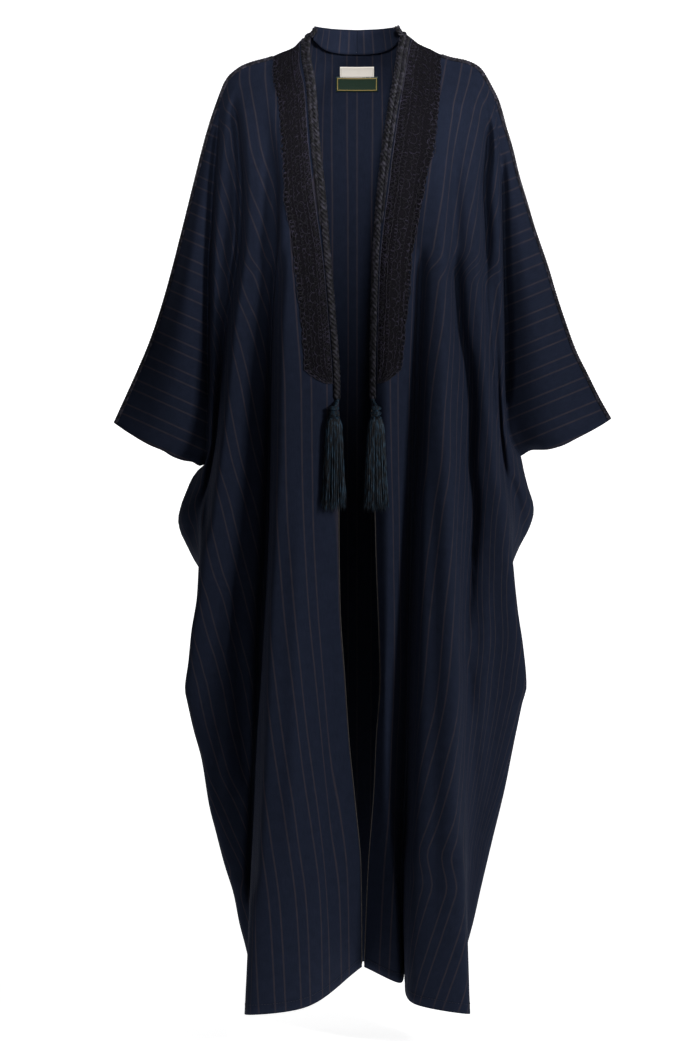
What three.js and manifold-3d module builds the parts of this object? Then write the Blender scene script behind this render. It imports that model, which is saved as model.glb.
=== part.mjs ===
import * as THREE from 'three';
import { mergeVertices } from 'three/addons/utils/BufferGeometryUtils.js';
import Module from 'manifold-3d';

// An open-fronted abaya, hollow as it is worn. Millimetres, +Z up, front towards -Y.
const shoulderToHem = 1500;
const clothThickness = 1.6;
const collarThickness = 2.2;
const labelThickness = 0.9;
const embroideryHeight = 0.9;
const halfSeamGap = 0.17;
const laidGap = 0.35;

// The tables are drawn on squares as seen from the front: across, down, and depth in millimetres.
const squaresToHem = 965;
const square = shoulderToHem / squaresToHem;
const sightDistance = 5000;
const sightAcross = 350;
const sightDown = 521.5;
const centreAcross = 357;
const shoulderDown = 52;
const armSeamLean = 0.08;

// How the panels are divided, and how their rows close up towards the shoulder.
const cuffRows = 14;
const hemRows = 16;
const rowEase = 1.3;
const sleeveColumns = 7;
const settleRows = 5;
const puffEase = 1.8;

// The braid along each front edge, as it crosses its columns.
const braidHeights = [2.4, 4.2, 4.2, 2.2];
const braidEndDown = 392;
const braidColumnWidth = 3.1;
// Columns: squares below the neck's corner, squares in from it, depth.
const braidLead = [[-7, 7, -3.5], [1, 2, -7]];

// The braid over the shoulder and arm seam.
const seamBraidFront = 8;
const seamBraidBack = 5;
const seamBraidHeight = 1.5;
const seamBraidGap = 1.2;
const seamCrownGap = 2.2;

// Each label's width and height, and how far it lies below the neckline, along the cloth.
const upperLabel = { width: 53, height: 17, below: 30 };
const lowerLabel = { width: 64, height: 22, below: 48.5 };

const rightTasselAcross = 334;
const leftTasselAcross = 376;
const tasselTopDown = 405.5;
const tasselDepth = -139;
const tasselDrop = 164;
const tasselLean = 14;
const cordRadius = 2.6;
const cordColumn = 1.3;
const cordLift = 3.6;
const cordGap = 0.6;
const strandWidth = 3;
const strandTaper = 0.75;
const strandRoot = -37;
const skirtFlare = 0.42 * Math.PI;
const skirtDepth = 0.68;
const headDepth = 0.9;
const headSides = 12;
// Columns: strands, radius at the root, radius at the tip, waviness.
const strandRings = [[4, 2.2, 5, 0.3], [9, 5.2, 12, 0.5], [15, 8.2, 19, 0.8]];
// Columns: radius, height. Cord, two knots, bound head and the root of the skirt.
const headProfile = [
  [0, 8], [3.2, 7], [3.4, 0], [6.4, -2], [7.4, -5], [6.4, -9], [4.4, -10.5], [6.6, -12], [7.6, -15.5],
  [6.4, -19], [5, -20.5], [9.5, -23.5], [11, -28], [10.6, -34], [9.6, -40], [0, -42],
];

const clothColour = 0x1b2031;
const braidColour = 0x1f2028;
const tasselColour = 0x15263a;
const paleLabelColour = 0xdcd5cd;
const darkLabelColour = 0x2f3c30;

// Columns: down, across, depth. Each line runs from the shoulder seam to the hem.
const rightSide = {
  cuffLevel: 464,
  sleeveStart: 160,
  frontPuff: -36,
  backPuff: 38,
  braidColumns: [0, 1, 2, 2.7],
  // Columns: across, down.
  shoulder: [
    [311, 33], [301, 40], [294, 47], [280, 53], [268, 58], [256, 61],
    [242, 66], [236, 70], [229, 76], [224, 84],
  ],
  cuff: [
    [205, 464], [200, 466], [192, 462], [185, 461], [173, 457], [163, 451], [149, 445], [127, 432],
    [114, 423],
  ],
  // Columns: down, across.
  overarm: [
    [84, 224], [97, 219], [117, 212], [137, 206], [160, 200], [200, 190], [240, 180], [275, 171],
    [313, 160], [342, 150], [366, 140], [397, 126], [423, 114],
  ],
  embroidery: [
    [62, 273], [80, 277], [110, 280], [150, 283], [190, 284], [220, 290], [250, 293], [280, 297],
    [310, 300], [340, 302], [370, 305], [386, 309],
  ],
  // Columns: down, across, front depth, back depth.
  side: [
    [84, 224, 0, 0], [105, 220, -14, 16], [160, 216, -30, 34], [200, 213, -36, 40], [280, 208, -40, 44],
    [400, 208, -40, 42], [440, 208, -26, 26], [464, 205, 0, 0], [471, 197, 0, 0], [480, 191, 1, 1],
    [492, 186, 2, 2], [505, 181, 3, 3], [520, 178, 4, 4], [531, 180, 5, 5], [542, 185, 6, 6],
    [560, 194, 8, 8], [574, 202, 10, 10], [600, 208, 12, 12], [690, 202, 18, 18], [760, 214, 18, 18],
    [834, 230, 16, 16], [896, 246, 14, 14], [978, 264, 12, 12],
  ],
  lines: [
    {
      name: 'front edge',
      columns: 6,
      table: [
        [33, 311, 0], [51, 310, -22], [82, 315, -58], [130, 318, -84], [190, 324, -102], [250, 329, -110],
        [310, 334, -114], [390, 339, -116], [520, 339, -114], [600, 340, -110], [680, 345, -104],
        [740, 349, -98], [800, 355, -92], [870, 361, -86], [967, 362, -80],
      ],
    },
    {
      name: 'embroidered band',
      columns: 4,
      table: [
        [48, 292, 0], [82, 295, -55], [130, 299, -92], [190, 304, -113], [250, 311, -122], [310, 317, -127],
        [385, 322, -131], [460, 319, -135], [520, 315, -138], [600, 312, -144], [700, 309, -152],
        [800, 309, -162], [900, 309, -172], [1008, 304, -178],
      ],
    },
    {
      name: 'long fold',
      columns: 2,
      table: [
        [57, 270, 0], [110, 276, -78], [150, 281, -103], [190, 283, -118], [230, 283, -128], [270, 280, -134],
        [320, 278, -138], [400, 276, -143], [480, 275, -148], [540, 273, -152], [590, 271, -156],
        [640, 268, -160], [690, 265, -164], [740, 262, -168], [800, 260, -173], [860, 257, -178],
        [920, 254, -184], [1015, 249, -192],
      ],
    },
    {
      name: 'hollow behind the long fold',
      columns: 3,
      table: [
        [60, 259, 0], [110, 263, -68], [150, 269, -84], [190, 274, -88], [230, 274, -88], [320, 269, -84],
        [400, 267, -84], [540, 264, -86], [640, 259, -88], [740, 253, -88], [800, 251, -86], [860, 251, -84],
        [920, 253, -80], [1000, 258, -72],
      ],
    },
    {
      name: 'side fold',
      columns: 3,
      table: [
        [64, 247, 0], [115, 237, -56], [140, 239, -72], [170, 244, -86], [200, 245, -94], [230, 243, -98],
        [270, 240, -100], [310, 235, -102], [380, 226, -104], [450, 219, -104], [520, 210, -100],
        [560, 205, -96], [600, 200, -90], [631, 194, -86], [663, 191, -80], [690, 187, -74], [704, 190, -72],
        [731, 196, -70], [760, 204, -70], [806, 211, -70], [834, 218, -68], [866, 226, -66], [896, 235, -64],
        [924, 240, -62], [948, 246, -60], [990, 255, -58],
      ],
    },
    {
      name: 'hollow at the arm',
      columns: 2,
      table: [
        [70, 239, 0], [105, 230, -36], [160, 230, -56], [200, 229, -62], [280, 223, -66], [400, 218, -68],
        [440, 216, -64], [480, 208, -52], [520, 196, -36], [560, 200, -32], [600, 203, -34], [690, 193, -30],
        [760, 207, -28], [834, 222, -26], [896, 238, -24], [985, 257, -22],
      ],
    },
    {
      name: 'arm crease',
      columns: 2,
      table: [
        [75, 231, 0], [105, 225, -28], [160, 222, -52], [200, 219, -60], [280, 214, -66], [400, 213, -68],
        [440, 213, -60], [465, 206, -44], [480, 201, -36], [500, 192, -22], [512, 184, -14], [520, 181, -10],
        [531, 183, -8], [542, 188, -8], [560, 197, -10], [574, 203, -12], [600, 206, -10], [690, 197, -6],
        [760, 211, -5], [834, 226, -5], [896, 242, -5], [980, 261, -5],
      ],
    },
  ],
};

const leftSide = {
  cuffLevel: 456,
  sleeveStart: 160,
  frontPuff: -36,
  backPuff: 38,
  braidColumns: [0, 1, 2, 2.15],
  shoulder: [
    [401, 31], [410, 37], [419, 44], [430, 49], [440, 54], [452, 58], [463, 60], [472, 63], [480, 68],
    [485, 75], [490, 84],
  ],
  cuff: [[521, 456], [533, 450], [544, 450], [559, 447], [578, 438], [602, 425], [611, 419]],
  overarm: [
    [84, 490], [100, 498], [125, 505], [148, 512], [178, 519], [200, 526], [227, 534], [268, 548],
    [295, 556], [325, 566], [352, 576], [372, 586], [398, 599], [419, 611],
  ],
  embroidery: [
    [57, 441], [80, 440], [110, 437], [140, 433], [160, 428], [180, 425], [200, 421], [230, 416],
    [260, 411], [290, 409], [320, 406], [345, 404], [386, 396],
  ],
  side: [
    [84, 490, 0, 0], [100, 494, -12, 14], [150, 500, -28, 32], [200, 502, -36, 40], [280, 504, -40, 44],
    [360, 505, -40, 42], [425, 507, -32, 30], [445, 513, -14, 14], [456, 521, 0, 0], [466, 523, 0, 0],
    [475, 525, 1, 1], [490, 529, 2, 2], [502, 533, 3, 3], [511, 534, 3, 3], [521, 532, 4, 4],
    [531, 528, 5, 5], [548, 519, 7, 7], [570, 511, 9, 9], [600, 508, 12, 12], [690, 510, 18, 18],
    [760, 498, 18, 18], [834, 484, 16, 16], [896, 468, 14, 14], [978, 450, 12, 12],
  ],
  lines: [
    {
      name: 'front edge',
      columns: 5,
      table: [
        [31, 401, 0], [51, 397, -22], [71, 394, -46], [102, 389, -70], [130, 385, -84], [170, 380, -97],
        [230, 375, -108], [310, 372, -114], [380, 371, -116], [520, 375, -114], [560, 376, -112],
        [640, 379, -107], [680, 380, -104], [740, 376, -98], [787, 374, -94], [868, 368, -86],
        [967, 364, -80],
      ],
    },
    {
      name: 'embroidered band',
      columns: 2,
      table: [
        [40, 414, 0], [82, 416, -52], [110, 411, -84], [160, 404, -108], [200, 399, -117], [260, 392, -125],
        [320, 389, -129], [380, 387, -132], [460, 387, -131], [520, 388, -129], [600, 388, -123],
        [700, 386, -114], [787, 387, -111], [860, 392, -113], [900, 395, -114], [940, 397, -115],
        [983, 399, -116],
      ],
    },
    {
      name: 'hollow beside the edge',
      columns: 2,
      table: [
        [48, 428, 0], [110, 423, -83], [160, 417, -106], [200, 414, -112], [260, 411, -114], [320, 409, -112],
        [400, 409, -106], [500, 408, -100], [600, 407, -92], [700, 405, -86], [800, 403, -80],
        [900, 401, -74], [974, 405, -68],
      ],
    },
    {
      name: 'near side of the long fold',
      columns: 2,
      table: [
        [52, 437, 0], [110, 432, -83], [160, 427, -109], [200, 426, -117], [260, 424, -123], [400, 423, -129],
        [500, 421, -134], [600, 419, -140], [700, 417, -146], [800, 417, -156], [900, 416, -166],
        [1004, 414, -176],
      ],
    },
    {
      name: 'long fold',
      columns: 2,
      table: [
        [58, 452, 0], [110, 447, -80], [160, 443, -108], [260, 441, -130], [330, 442, -137], [400, 442, -143],
        [460, 445, -148], [560, 448, -156], [640, 451, -162], [690, 453, -166], [800, 456, -174],
        [900, 460, -182], [960, 463, -187], [1014, 466, -192],
      ],
    },
    {
      name: 'hollow behind the long fold',
      columns: 2,
      table: [
        [61, 465, 0], [110, 461, -66], [160, 457, -84], [200, 456, -90], [260, 458, -94], [400, 465, -94],
        [500, 470, -92], [600, 474, -92], [700, 478, -90], [800, 475, -86], [900, 468, -78], [1000, 456, -70],
      ],
    },
    {
      name: 'side fold',
      columns: 3,
      table: [
        [64, 473, 0], [110, 475, -52], [150, 474, -74], [190, 472, -88], [230, 474, -97], [260, 478, -100],
        [320, 484, -104], [390, 492, -102], [450, 497, -98], [520, 503, -94], [570, 510, -88],
        [619, 517, -82], [643, 521, -78], [687, 525, -72], [704, 520, -71], [740, 513, -70],
        [787, 504, -70], [841, 491, -68], [889, 480, -64], [922, 473, -62], [962, 463, -58],
        [990, 458, -56],
      ],
    },
    {
      name: 'hollow at the arm',
      columns: 2,
      table: [
        [70, 481, 0], [100, 485, -26], [150, 487, -52], [200, 489, -60], [280, 493, -66], [360, 498, -66],
        [430, 501, -62], [480, 508, -50], [520, 516, -36], [560, 511, -34], [600, 510, -32], [690, 518, -28],
        [760, 503, -26], [834, 489, -24], [896, 476, -22], [985, 456, -20],
      ],
    },
    {
      name: 'arm crease',
      columns: 2,
      table: [
        [77, 486, 0], [100, 490, -24], [150, 495, -50], [200, 497, -58], [280, 500, -64], [360, 502, -64],
        [430, 504, -56], [450, 510, -44], [480, 519, -32], [495, 526, -22], [503, 530, -14], [511, 531, -10],
        [521, 529, -8], [531, 525, -8], [548, 517, -10], [570, 510, -12], [600, 509, -10], [690, 514, -6],
        [760, 501, -5], [834, 487, -5], [896, 472, -5], [980, 453, -5],
      ],
    },
  ],
};

// Columns: down, share of the way to the side seam, depth.
const backLines = [
  {
    name: 'centre back',
    columns: 4,
    table: [
      [52.6, 0, 58], [70, 0, 84], [100, 0, 106], [150, 0, 122], [220, 0, 128], [320, 0, 124],
      [460, 0, 119], [600, 0, 122], [760, 0, 128], [962, 0, 138],
    ],
  },
  {
    name: 'inner hollow',
    columns: 3,
    table: [
      [50, 0.17, 49], [70, 0.18, 78], [100, 0.2, 100], [150, 0.21, 116], [220, 0.22, 121], [320, 0.22, 115],
      [460, 0.22, 109], [600, 0.23, 107], [760, 0.24, 110], [960, 0.24, 116],
    ],
  },
  {
    name: 'inner fold',
    columns: 3,
    table: [
      [33, 0.34, 0], [70, 0.37, 52], [100, 0.4, 80], [150, 0.42, 104], [220, 0.44, 116], [320, 0.45, 118],
      [460, 0.45, 116], [600, 0.46, 121], [760, 0.47, 134], [957, 0.48, 152],
    ],
  },
  {
    name: 'outer hollow',
    columns: 3,
    table: [
      [57, 0.654, 0], [100, 0.66, 50], [150, 0.66, 80], [220, 0.66, 95], [320, 0.66, 95], [460, 0.66, 88],
      [600, 0.67, 86], [760, 0.68, 92], [960, 0.7, 100],
    ],
  },
  {
    name: 'outer fold',
    columns: 3,
    table: [
      [66, 0.86, 0], [100, 0.86, 32], [150, 0.86, 60], [220, 0.86, 78], [320, 0.86, 84], [460, 0.86, 78],
      [520, 0.86, 72], [600, 0.87, 82], [690, 0.88, 92], [760, 0.88, 98], [962, 0.88, 116],
    ],
  },
];

// Columns: distance from the centre, down, depth.
const neckline = [[0, 52.6, 58], [12, 52.4, 57], [23, 51, 51], [35, 46, 34], [42, 38, 15], [45, 33, 0]];
const collarFoot = [
  [0, 54.5, 54.1], [12, 54.3, 52.7], [22, 53, 46.3], [32.4, 48.5, 31], [39.5, 41, 11.5], [42, 37, -2],
];
const collarTop = [
  [0, 30, 58.5], [12, 29.5, 55], [22, 29, 45.5], [31, 28, 28.5], [38, 27.5, 10.5], [41, 27, -3],
];

function readTable(table, at, column) {
  const rows = table[0][0] < table[table.length - 1][0] ? table : [...table].reverse();
  const last = rows.length - 1;
  if (at <= rows[0][0]) return rows[0][column];
  if (at >= rows[last][0]) return rows[last][column];
  const next = rows.findIndex((row) => row[0] > at);
  const slope = (i) => (rows[i + 1][column] - rows[i][column]) / (rows[i + 1][0] - rows[i][0]);
  const easeAt = (i) => {
    if (i === 0) return slope(0);
    if (i === last) return slope(last - 1);
    const before = slope(i - 1);
    const after = slope(i);
    return before * after <= 0 ? 0 : (2 * before * after) / (before + after);
  };
  const width = rows[next][0] - rows[next - 1][0];
  const t = (at - rows[next - 1][0]) / width;
  const start = rows[next - 1][column] * (2 * t ** 3 - 3 * t ** 2 + 1);
  const leave = easeAt(next - 1) * width * (t ** 3 - 2 * t ** 2 + t);
  const end = rows[next][column] * (3 * t ** 2 - 2 * t ** 3);
  return start + leave + end + easeAt(next) * width * (t ** 3 - t ** 2);
}

function mix(from, to, share) {
  return from + (to - from) * share;
}

function place(drawn) {
  const scale = square * (1 + drawn.z / sightDistance);
  const x = (drawn.x - sightAcross) * scale - (centreAcross - sightAcross) * square;
  const z = (sightDown - drawn.y) * scale - (sightDown - shoulderDown) * square;
  return new THREE.Vector3(x, drawn.z, z);
}

function rise(row) {
  return (row / cuffRows) ** rowEase;
}

function downAt(side, table, row) {
  const top = table[0][0];
  const hem = table[table.length - 1][0];
  if (row <= cuffRows) return mix(top, side.cuffLevel, rise(row));
  return mix(side.cuffLevel, hem, (row - cuffRows) / hemRows);
}

function sidePoint(side, row, isBack) {
  const down = downAt(side, side.side, row);
  return new THREE.Vector3(readTable(side.side, down, 1), down, readTable(side.side, down, isBack ? 3 : 2));
}

function linePoints(side, row, isBack) {
  const lines = isBack ? backLines : side.lines;
  const points = lines.map(({ table }) => {
    const down = downAt(side, table, row);
    const across = readTable(table, down, 1);
    const seam = readTable(side.side, down, 1);
    const x = isBack ? mix(centreAcross, seam, across) : across;
    return new THREE.Vector3(x, down, readTable(table, down, 2));
  });
  points.push(sidePoint(side, row, isBack));
  return points;
}

function topEdgePoint(side, across, isBack) {
  const corner = Math.abs(side.shoulder[0][0] - centreAcross);
  const away = Math.abs(across - centreAcross);
  if (!isBack || away >= corner) return new THREE.Vector3(across, readTable(side.shoulder, across, 1), 0);
  const reach = (away / corner) * neckline[neckline.length - 1][0];
  return new THREE.Vector3(across, readTable(neckline, reach, 1), readTable(neckline, reach, 2));
}

function bodyRow(side, row, isBack) {
  const lines = isBack ? backLines : side.lines;
  const curve = new THREE.CatmullRomCurve3(linePoints(side, row, isBack), false, 'centripetal');
  const points = [];
  lines.forEach((line, index) => {
    for (let column = 0; column < line.columns; column += 1) {
      points.push(curve.getPoint((index + column / line.columns) / lines.length));
    }
  });
  points.push(sidePoint(side, row, isBack));
  return points;
}

function armSeam(side, down) {
  const shoulderPoint = side.overarm[0][0];
  return new THREE.Vector3(readTable(side.overarm, down, 1), down, -armSeamLean * (down - shoulderPoint));
}

function cuffPoint(side, share) {
  const last = side.cuff.length - 1;
  const across = mix(side.cuff[0][0], side.cuff[last][0], share);
  const tip = armSeam(side, side.cuff[last][1]);
  return new THREE.Vector3(across, readTable(side.cuff, across, 1), mix(0, tip.z, share));
}

function sleevePoint(side, row, share, isBack) {
  const t = rise(row);
  const tipDown = side.cuff[side.cuff.length - 1][1];
  const topDown = side.overarm[0][0];
  const inner = sidePoint(side, row, isBack);
  const outer = armSeam(side, mix(side.sleeveStart, tipDown, t));
  const top = armSeam(side, mix(topDown, side.sleeveStart, share));
  const low = cuffPoint(side, share);
  const point = inner.clone().multiplyScalar(1 - share).addScaledVector(outer, share);
  point.addScaledVector(top, 1 - t).addScaledVector(low, t);
  point.addScaledVector(armSeam(side, topDown), -(1 - share) * (1 - t));
  point.addScaledVector(armSeam(side, side.sleeveStart), -share * (1 - t));
  point.addScaledVector(cuffPoint(side, 0), -(1 - share) * t);
  point.addScaledVector(cuffPoint(side, 1), -share * t);
  const puff = isBack ? side.backPuff : side.frontPuff;
  point.z += puff * Math.sin(Math.PI * share) * Math.min(1, puffEase * t);
  return point;
}

function drawHalf(side, isBack) {
  const rows = [];
  for (let row = 0; row <= cuffRows + hemRows; row += 1) rows.push(bodyRow(side, row, isBack));
  const shifts = rows[0].map((point) => topEdgePoint(side, point.x, isBack).sub(point));
  for (let row = 0; row < settleRows; row += 1) {
    const share = (1 - row / settleRows) ** 2;
    rows[row].forEach((point, column) => point.addScaledVector(shifts[column], share));
  }
  for (let row = 0; row <= cuffRows; row += 1) {
    for (let column = 1; column <= sleeveColumns; column += 1) {
      rows[row].push(sleevePoint(side, row, column / sleeveColumns, isBack));
    }
  }
  return rows;
}

function cellNormals(points) {
  const normals = points.map((row) => row.map(() => new THREE.Vector3()));
  forEachCell(points, (row, column) => {
    const across = points[row + 1][column + 1].clone().sub(points[row][column]);
    const down = points[row + 1][column].clone().sub(points[row][column + 1]);
    const normal = across.cross(down).normalize();
    for (const [r, c] of [[row, column], [row, column + 1], [row + 1, column], [row + 1, column + 1]]) {
      normals[r][c].add(normal);
    }
  });
  return normals.map((row) => row.map((normal) => normal.normalize()));
}

function forEachCell(points, visit) {
  for (let row = 0; row < points.length - 1; row += 1) {
    for (let column = 0; column < points[row].length - 1; column += 1) {
      const [above, below] = [points[row], points[row + 1]];
      const corners = [above[column], above[column + 1], below[column], below[column + 1]];
      if (corners.every(Boolean)) visit(row, column);
    }
  }
}

// A closed wall between two grids of points that have the same gaps.
function wallBetween(outer, inner) {
  const index = outer.map((row) => row.map(() => -1));
  const positions = [];
  const pairs = [];
  outer.forEach((row, r) => row.forEach((point, c) => {
    if (!point) return;
    index[r][c] = pairs.length;
    pairs.push([point, inner[r][c]]);
  }));
  for (const layer of [0, 1]) pairs.forEach((pair) => positions.push(...pair[layer].toArray()));
  const triangles = [];
  forEachCell(outer, (row, column) => {
    const a = index[row][column];
    const b = index[row][column + 1];
    const c = index[row + 1][column + 1];
    const d = index[row + 1][column];
    triangles.push([a, d, c], [a, c, b]);
  });
  const count = pairs.length;
  const edges = new Map();
  triangles.forEach(([a, b, c]) => {
    for (const [from, to] of [[a, b], [b, c], [c, a]]) edges.set(`${from},${to}`, [from, to]);
  });
  const faces = [];
  triangles.forEach(([a, b, c]) => faces.push(a, b, c, count + a, count + c, count + b));
  edges.forEach(([from, to]) => {
    if (!edges.has(`${to},${from}`)) faces.push(from, count + to, to, from, count + from, count + to);
  });
  return closedGeometry(positions, faces);
}

function closedGeometry(positions, faces) {
  let volume = 0;
  const at = (i) => new THREE.Vector3(positions[3 * i], positions[3 * i + 1], positions[3 * i + 2]);
  for (let i = 0; i < faces.length; i += 3) {
    volume += at(faces[i]).dot(at(faces[i + 1]).cross(at(faces[i + 2])));
  }
  const turned = volume > 0 ? faces : [...faces].reverse();
  const geometry = new THREE.BufferGeometry();
  geometry.setAttribute('position', new THREE.Float32BufferAttribute(positions, 3));
  geometry.setIndex(turned);
  return geometry;
}

// At a seam both panels share one thickness direction, square to the seam and to the depth.
function seamDirection(before, after, inward) {
  const along = after.clone().sub(before);
  const direction = new THREE.Vector3(-along.z, 0, along.x).normalize();
  return direction.dot(inward) > 0 ? direction.negate() : direction;
}

function seamChains(points, bodyColumns) {
  const lastColumn = bodyColumns + sleeveColumns;
  const top = points[0].map((_, column) => [0, column]);
  for (let row = 1; row <= cuffRows; row += 1) top.push([row, lastColumn]);
  const sideSeam = [];
  for (let row = cuffRows; row < points.length; row += 1) sideSeam.push([row, bodyColumns]);
  return [top, sideSeam];
}

function panel(side, isBack) {
  const drawn = drawHalf(side, isBack);
  const bodyColumns = drawn[drawn.length - 1].length - 1;
  const points = drawn.map((row) => row.map(place));
  const outward = cellNormals(points);
  const facing = isBack ? 1 : -1;
  if (outward[cuffRows][2].y * facing < 0) outward.forEach((row) => row.forEach((normal) => normal.negate()));
  const firstSeam = isBack ? neckColumns() : 0;
  for (const chain of seamChains(points, bodyColumns)) {
    chain.forEach(([row, column], i) => {
      if (row === 0 && column < firstSeam) return;
      const [r0, c0] = chain[Math.max(0, i - 1)];
      const [r1, c1] = chain[Math.min(chain.length - 1, i + 1)];
      const inside = points[row + 1]?.[Math.max(0, column - 1)] ?? points[row][column - 1];
      const inward = inside.clone().sub(points[row][column]);
      outward[row][column] = seamDirection(points[r0][c0], points[r1][c1], inward);
      points[row][column].y += facing * halfSeamGap;
    });
  }
  return { side, drawn, points, outward, bodyColumns };
}

function neckColumns() {
  return backLines[0].columns + backLines[1].columns;
}

function movedOut(sheet, height) {
  return sheet.points.map((row, r) => row.map((point, c) => {
    const out = typeof height === 'function' ? height(r, c) : height;
    return point.clone().addScaledVector(sheet.outward[r][c], out);
  }));
}

function embroideryRise(sheet) {
  const { embroidery } = sheet.side;
  const last = embroidery[embroidery.length - 1][0];
  return (row, column) => {
    const point = sheet.drawn[row][column];
    const edge = readTable(embroidery, point.y, 1);
    const within = Math.abs(point.x - centreAcross) < Math.abs(edge - centreAcross);
    if (row < 1 || column < 1 || !within || point.y > last) return 0;
    return embroideryHeight * (column % 2 ? 1 : 0.65);
  };
}

function frontWall(sheet) {
  return wallBetween(movedOut(sheet, embroideryRise(sheet)), movedOut(sheet, -clothThickness));
}

function joinHalves(one, other) {
  const mirrorRow = (row, otherRow) => [...[...row].reverse(), ...otherRow.slice(1)];
  const widest = one.points[0].length;
  const fill = (row) => [...row, ...Array(widest - row.length).fill(null)];
  const join = (key) => one[key].map((row, r) => mirrorRow(fill(row), fill(other[key][r])));
  return { points: join('points'), outward: join('outward') };
}

function backWall(sheet) {
  const inner = sheet.points.map((row, r) => row.map((point, c) => (
    point && point.clone().addScaledVector(sheet.outward[r][c], -clothThickness)
  )));
  return wallBetween(sheet.points, inner);
}

function collarHalf(sign) {
  const stations = [0, 0.2, 0.4, 0.6, 0.8, 1];
  const rows = [collarFoot, collarTop].map((table) => stations.map((share) => {
    const away = share * table[table.length - 1][0];
    const [down, depth] = [readTable(table, away, 1), readTable(table, away, 2)];
    return place(new THREE.Vector3(centreAcross + sign * away, down, depth));
  }));
  const middle = rows[0].map((point, i) => point.clone().lerp(rows[1][i], 0.5));
  const inner = [rows[0], middle, rows[1]];
  inner.forEach((row) => { row[0].x = sign * halfSeamGap; });
  const outward = cellNormals(inner);
  if (outward[0][0].y < 0) outward.forEach((row) => row.forEach((normal) => normal.negate()));
  outward.forEach((row) => row[0].set(0, 1, 0));
  return wallBetween(movedOut({ points: inner, outward }, collarThickness), inner);
}

function onSheet(grid, row, column) {
  const r = Math.min(Math.floor(row), grid.length - 2);
  const c = Math.floor(column);
  const near = grid[r][c].clone().lerp(grid[r][c + 1], column - c);
  return near.lerp(grid[r + 1][c].clone().lerp(grid[r + 1][c + 1], column - c), row - r);
}

function braidEndRow(side) {
  const top = side.lines[0].table[0][0];
  return cuffRows * ((braidEndDown - top) / (side.cuffLevel - top)) ** (1 / rowEase);
}

function edgeBraid(sheet, sign) {
  const face = movedOut(sheet, embroideryRise(sheet));
  const table = sheet.side.lines[0].table;
  const endRow = braidEndRow(sheet.side);
  const rows = [];
  for (let row = 1; row < endRow - 0.3; row += 1) rows.push(row);
  rows.push(endRow);
  const layer = (raise) => {
    const strip = rows.map((row) => sheet.side.braidColumns.map((column, i) => {
      const out = onSheet(sheet.outward, row, column).normalize();
      return onSheet(face, row, column).addScaledVector(out, raise(i));
    }));
    const neckAcross = sheet.side.shoulder[0][0];
    const lead = braidLead.map(([below, inwards, depth]) => sheet.side.braidColumns.map((column, i) => {
      const across = neckAcross - sign * (inwards - braidColumnWidth * column);
      return place(new THREE.Vector3(across, table[0][0] + below, depth - raise(i) - column));
    }));
    return [...lead, ...strip];
  };
  return wallBetween(layer((i) => laidGap + braidHeights[i]), layer(() => laidGap));
}

function overarmBraid(front, back) {
  const lastColumn = front.bodyColumns + sleeveColumns;
  const backLast = back.bodyColumns + sleeveColumns;
  const stations = [];
  for (let column = 0; column <= sleeveColumns; column += 1) {
    stations.push([0, front.bodyColumns + column, back.bodyColumns + column]);
  }
  for (let row = 1; row <= cuffRows; row += 1) stations.push([row, lastColumn, backLast]);
  const rows = stations.map(([row, column, backColumn], i) => {
    const corner = i === sleeveColumns;
    const nextRow = i < sleeveColumns || corner ? row + 1 : row;
    const step = i < sleeveColumns ? 0 : 1;
    const reach = (sheet, c, width) => {
      const from = sheet.points[row][c];
      const to = sheet.points[nextRow][c - step];
      const share = Math.min(0.9, width / from.distanceTo(to));
      return [from.clone().lerp(to, share), sheet.outward[nextRow][c - step]];
    };
    const [frontPoint, frontOut] = reach(front, column, seamBraidFront);
    const [backPoint, backOut] = reach(back, backColumn, seamBraidBack);
    const seamOut = front.outward[row][column];
    const seam = front.points[row][column].clone().setY(front.points[row][column].y + halfSeamGap);
    seam.addScaledVector(seamOut, seamCrownGap - seamBraidGap);
    return [[frontPoint, frontOut], [seam, seamOut], [backPoint, backOut]];
  });
  const raised = ([point, out], height) => point.clone().addScaledVector(out, height);
  const layer = (height) => rows.map((row) => row.map((station) => raised(station, height)));
  return wallBetween(layer(seamBraidGap + seamBraidHeight), layer(seamBraidGap));
}

// How many grid steps along a line of points cover the given length.
function stepsFor(length, pointAt) {
  const step = 0.02;
  let steps = 0;
  for (let gone = 0; gone < length; steps += step) gone += pointAt(steps).distanceTo(pointAt(steps + step));
  return steps;
}

function label(back, size) {
  const centre = (back.points[0].length - 1) / 2;
  const downCentre = (row) => onSheet(back.points, row, centre);
  const top = stepsFor(size.below, downCentre);
  const bottom = stepsFor(size.below + size.height, downCentre);
  const reach = stepsFor(size.width / 2, (column) => onSheet(back.points, top, centre + column));
  const rows = [0, 0.5, 1].map((share) => mix(top, bottom, share));
  const columns = [-1, -0.5, 0, 0.5, 1].map((share) => centre + share * reach);
  const layer = (depth) => rows.map((row) => columns.map((column) => {
    const out = onSheet(back.outward, row, column).normalize();
    return onSheet(back.points, row, column).addScaledVector(out, -clothThickness - depth);
  }));
  return wallBetween(layer(laidGap), layer(laidGap + labelThickness));
}

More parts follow.
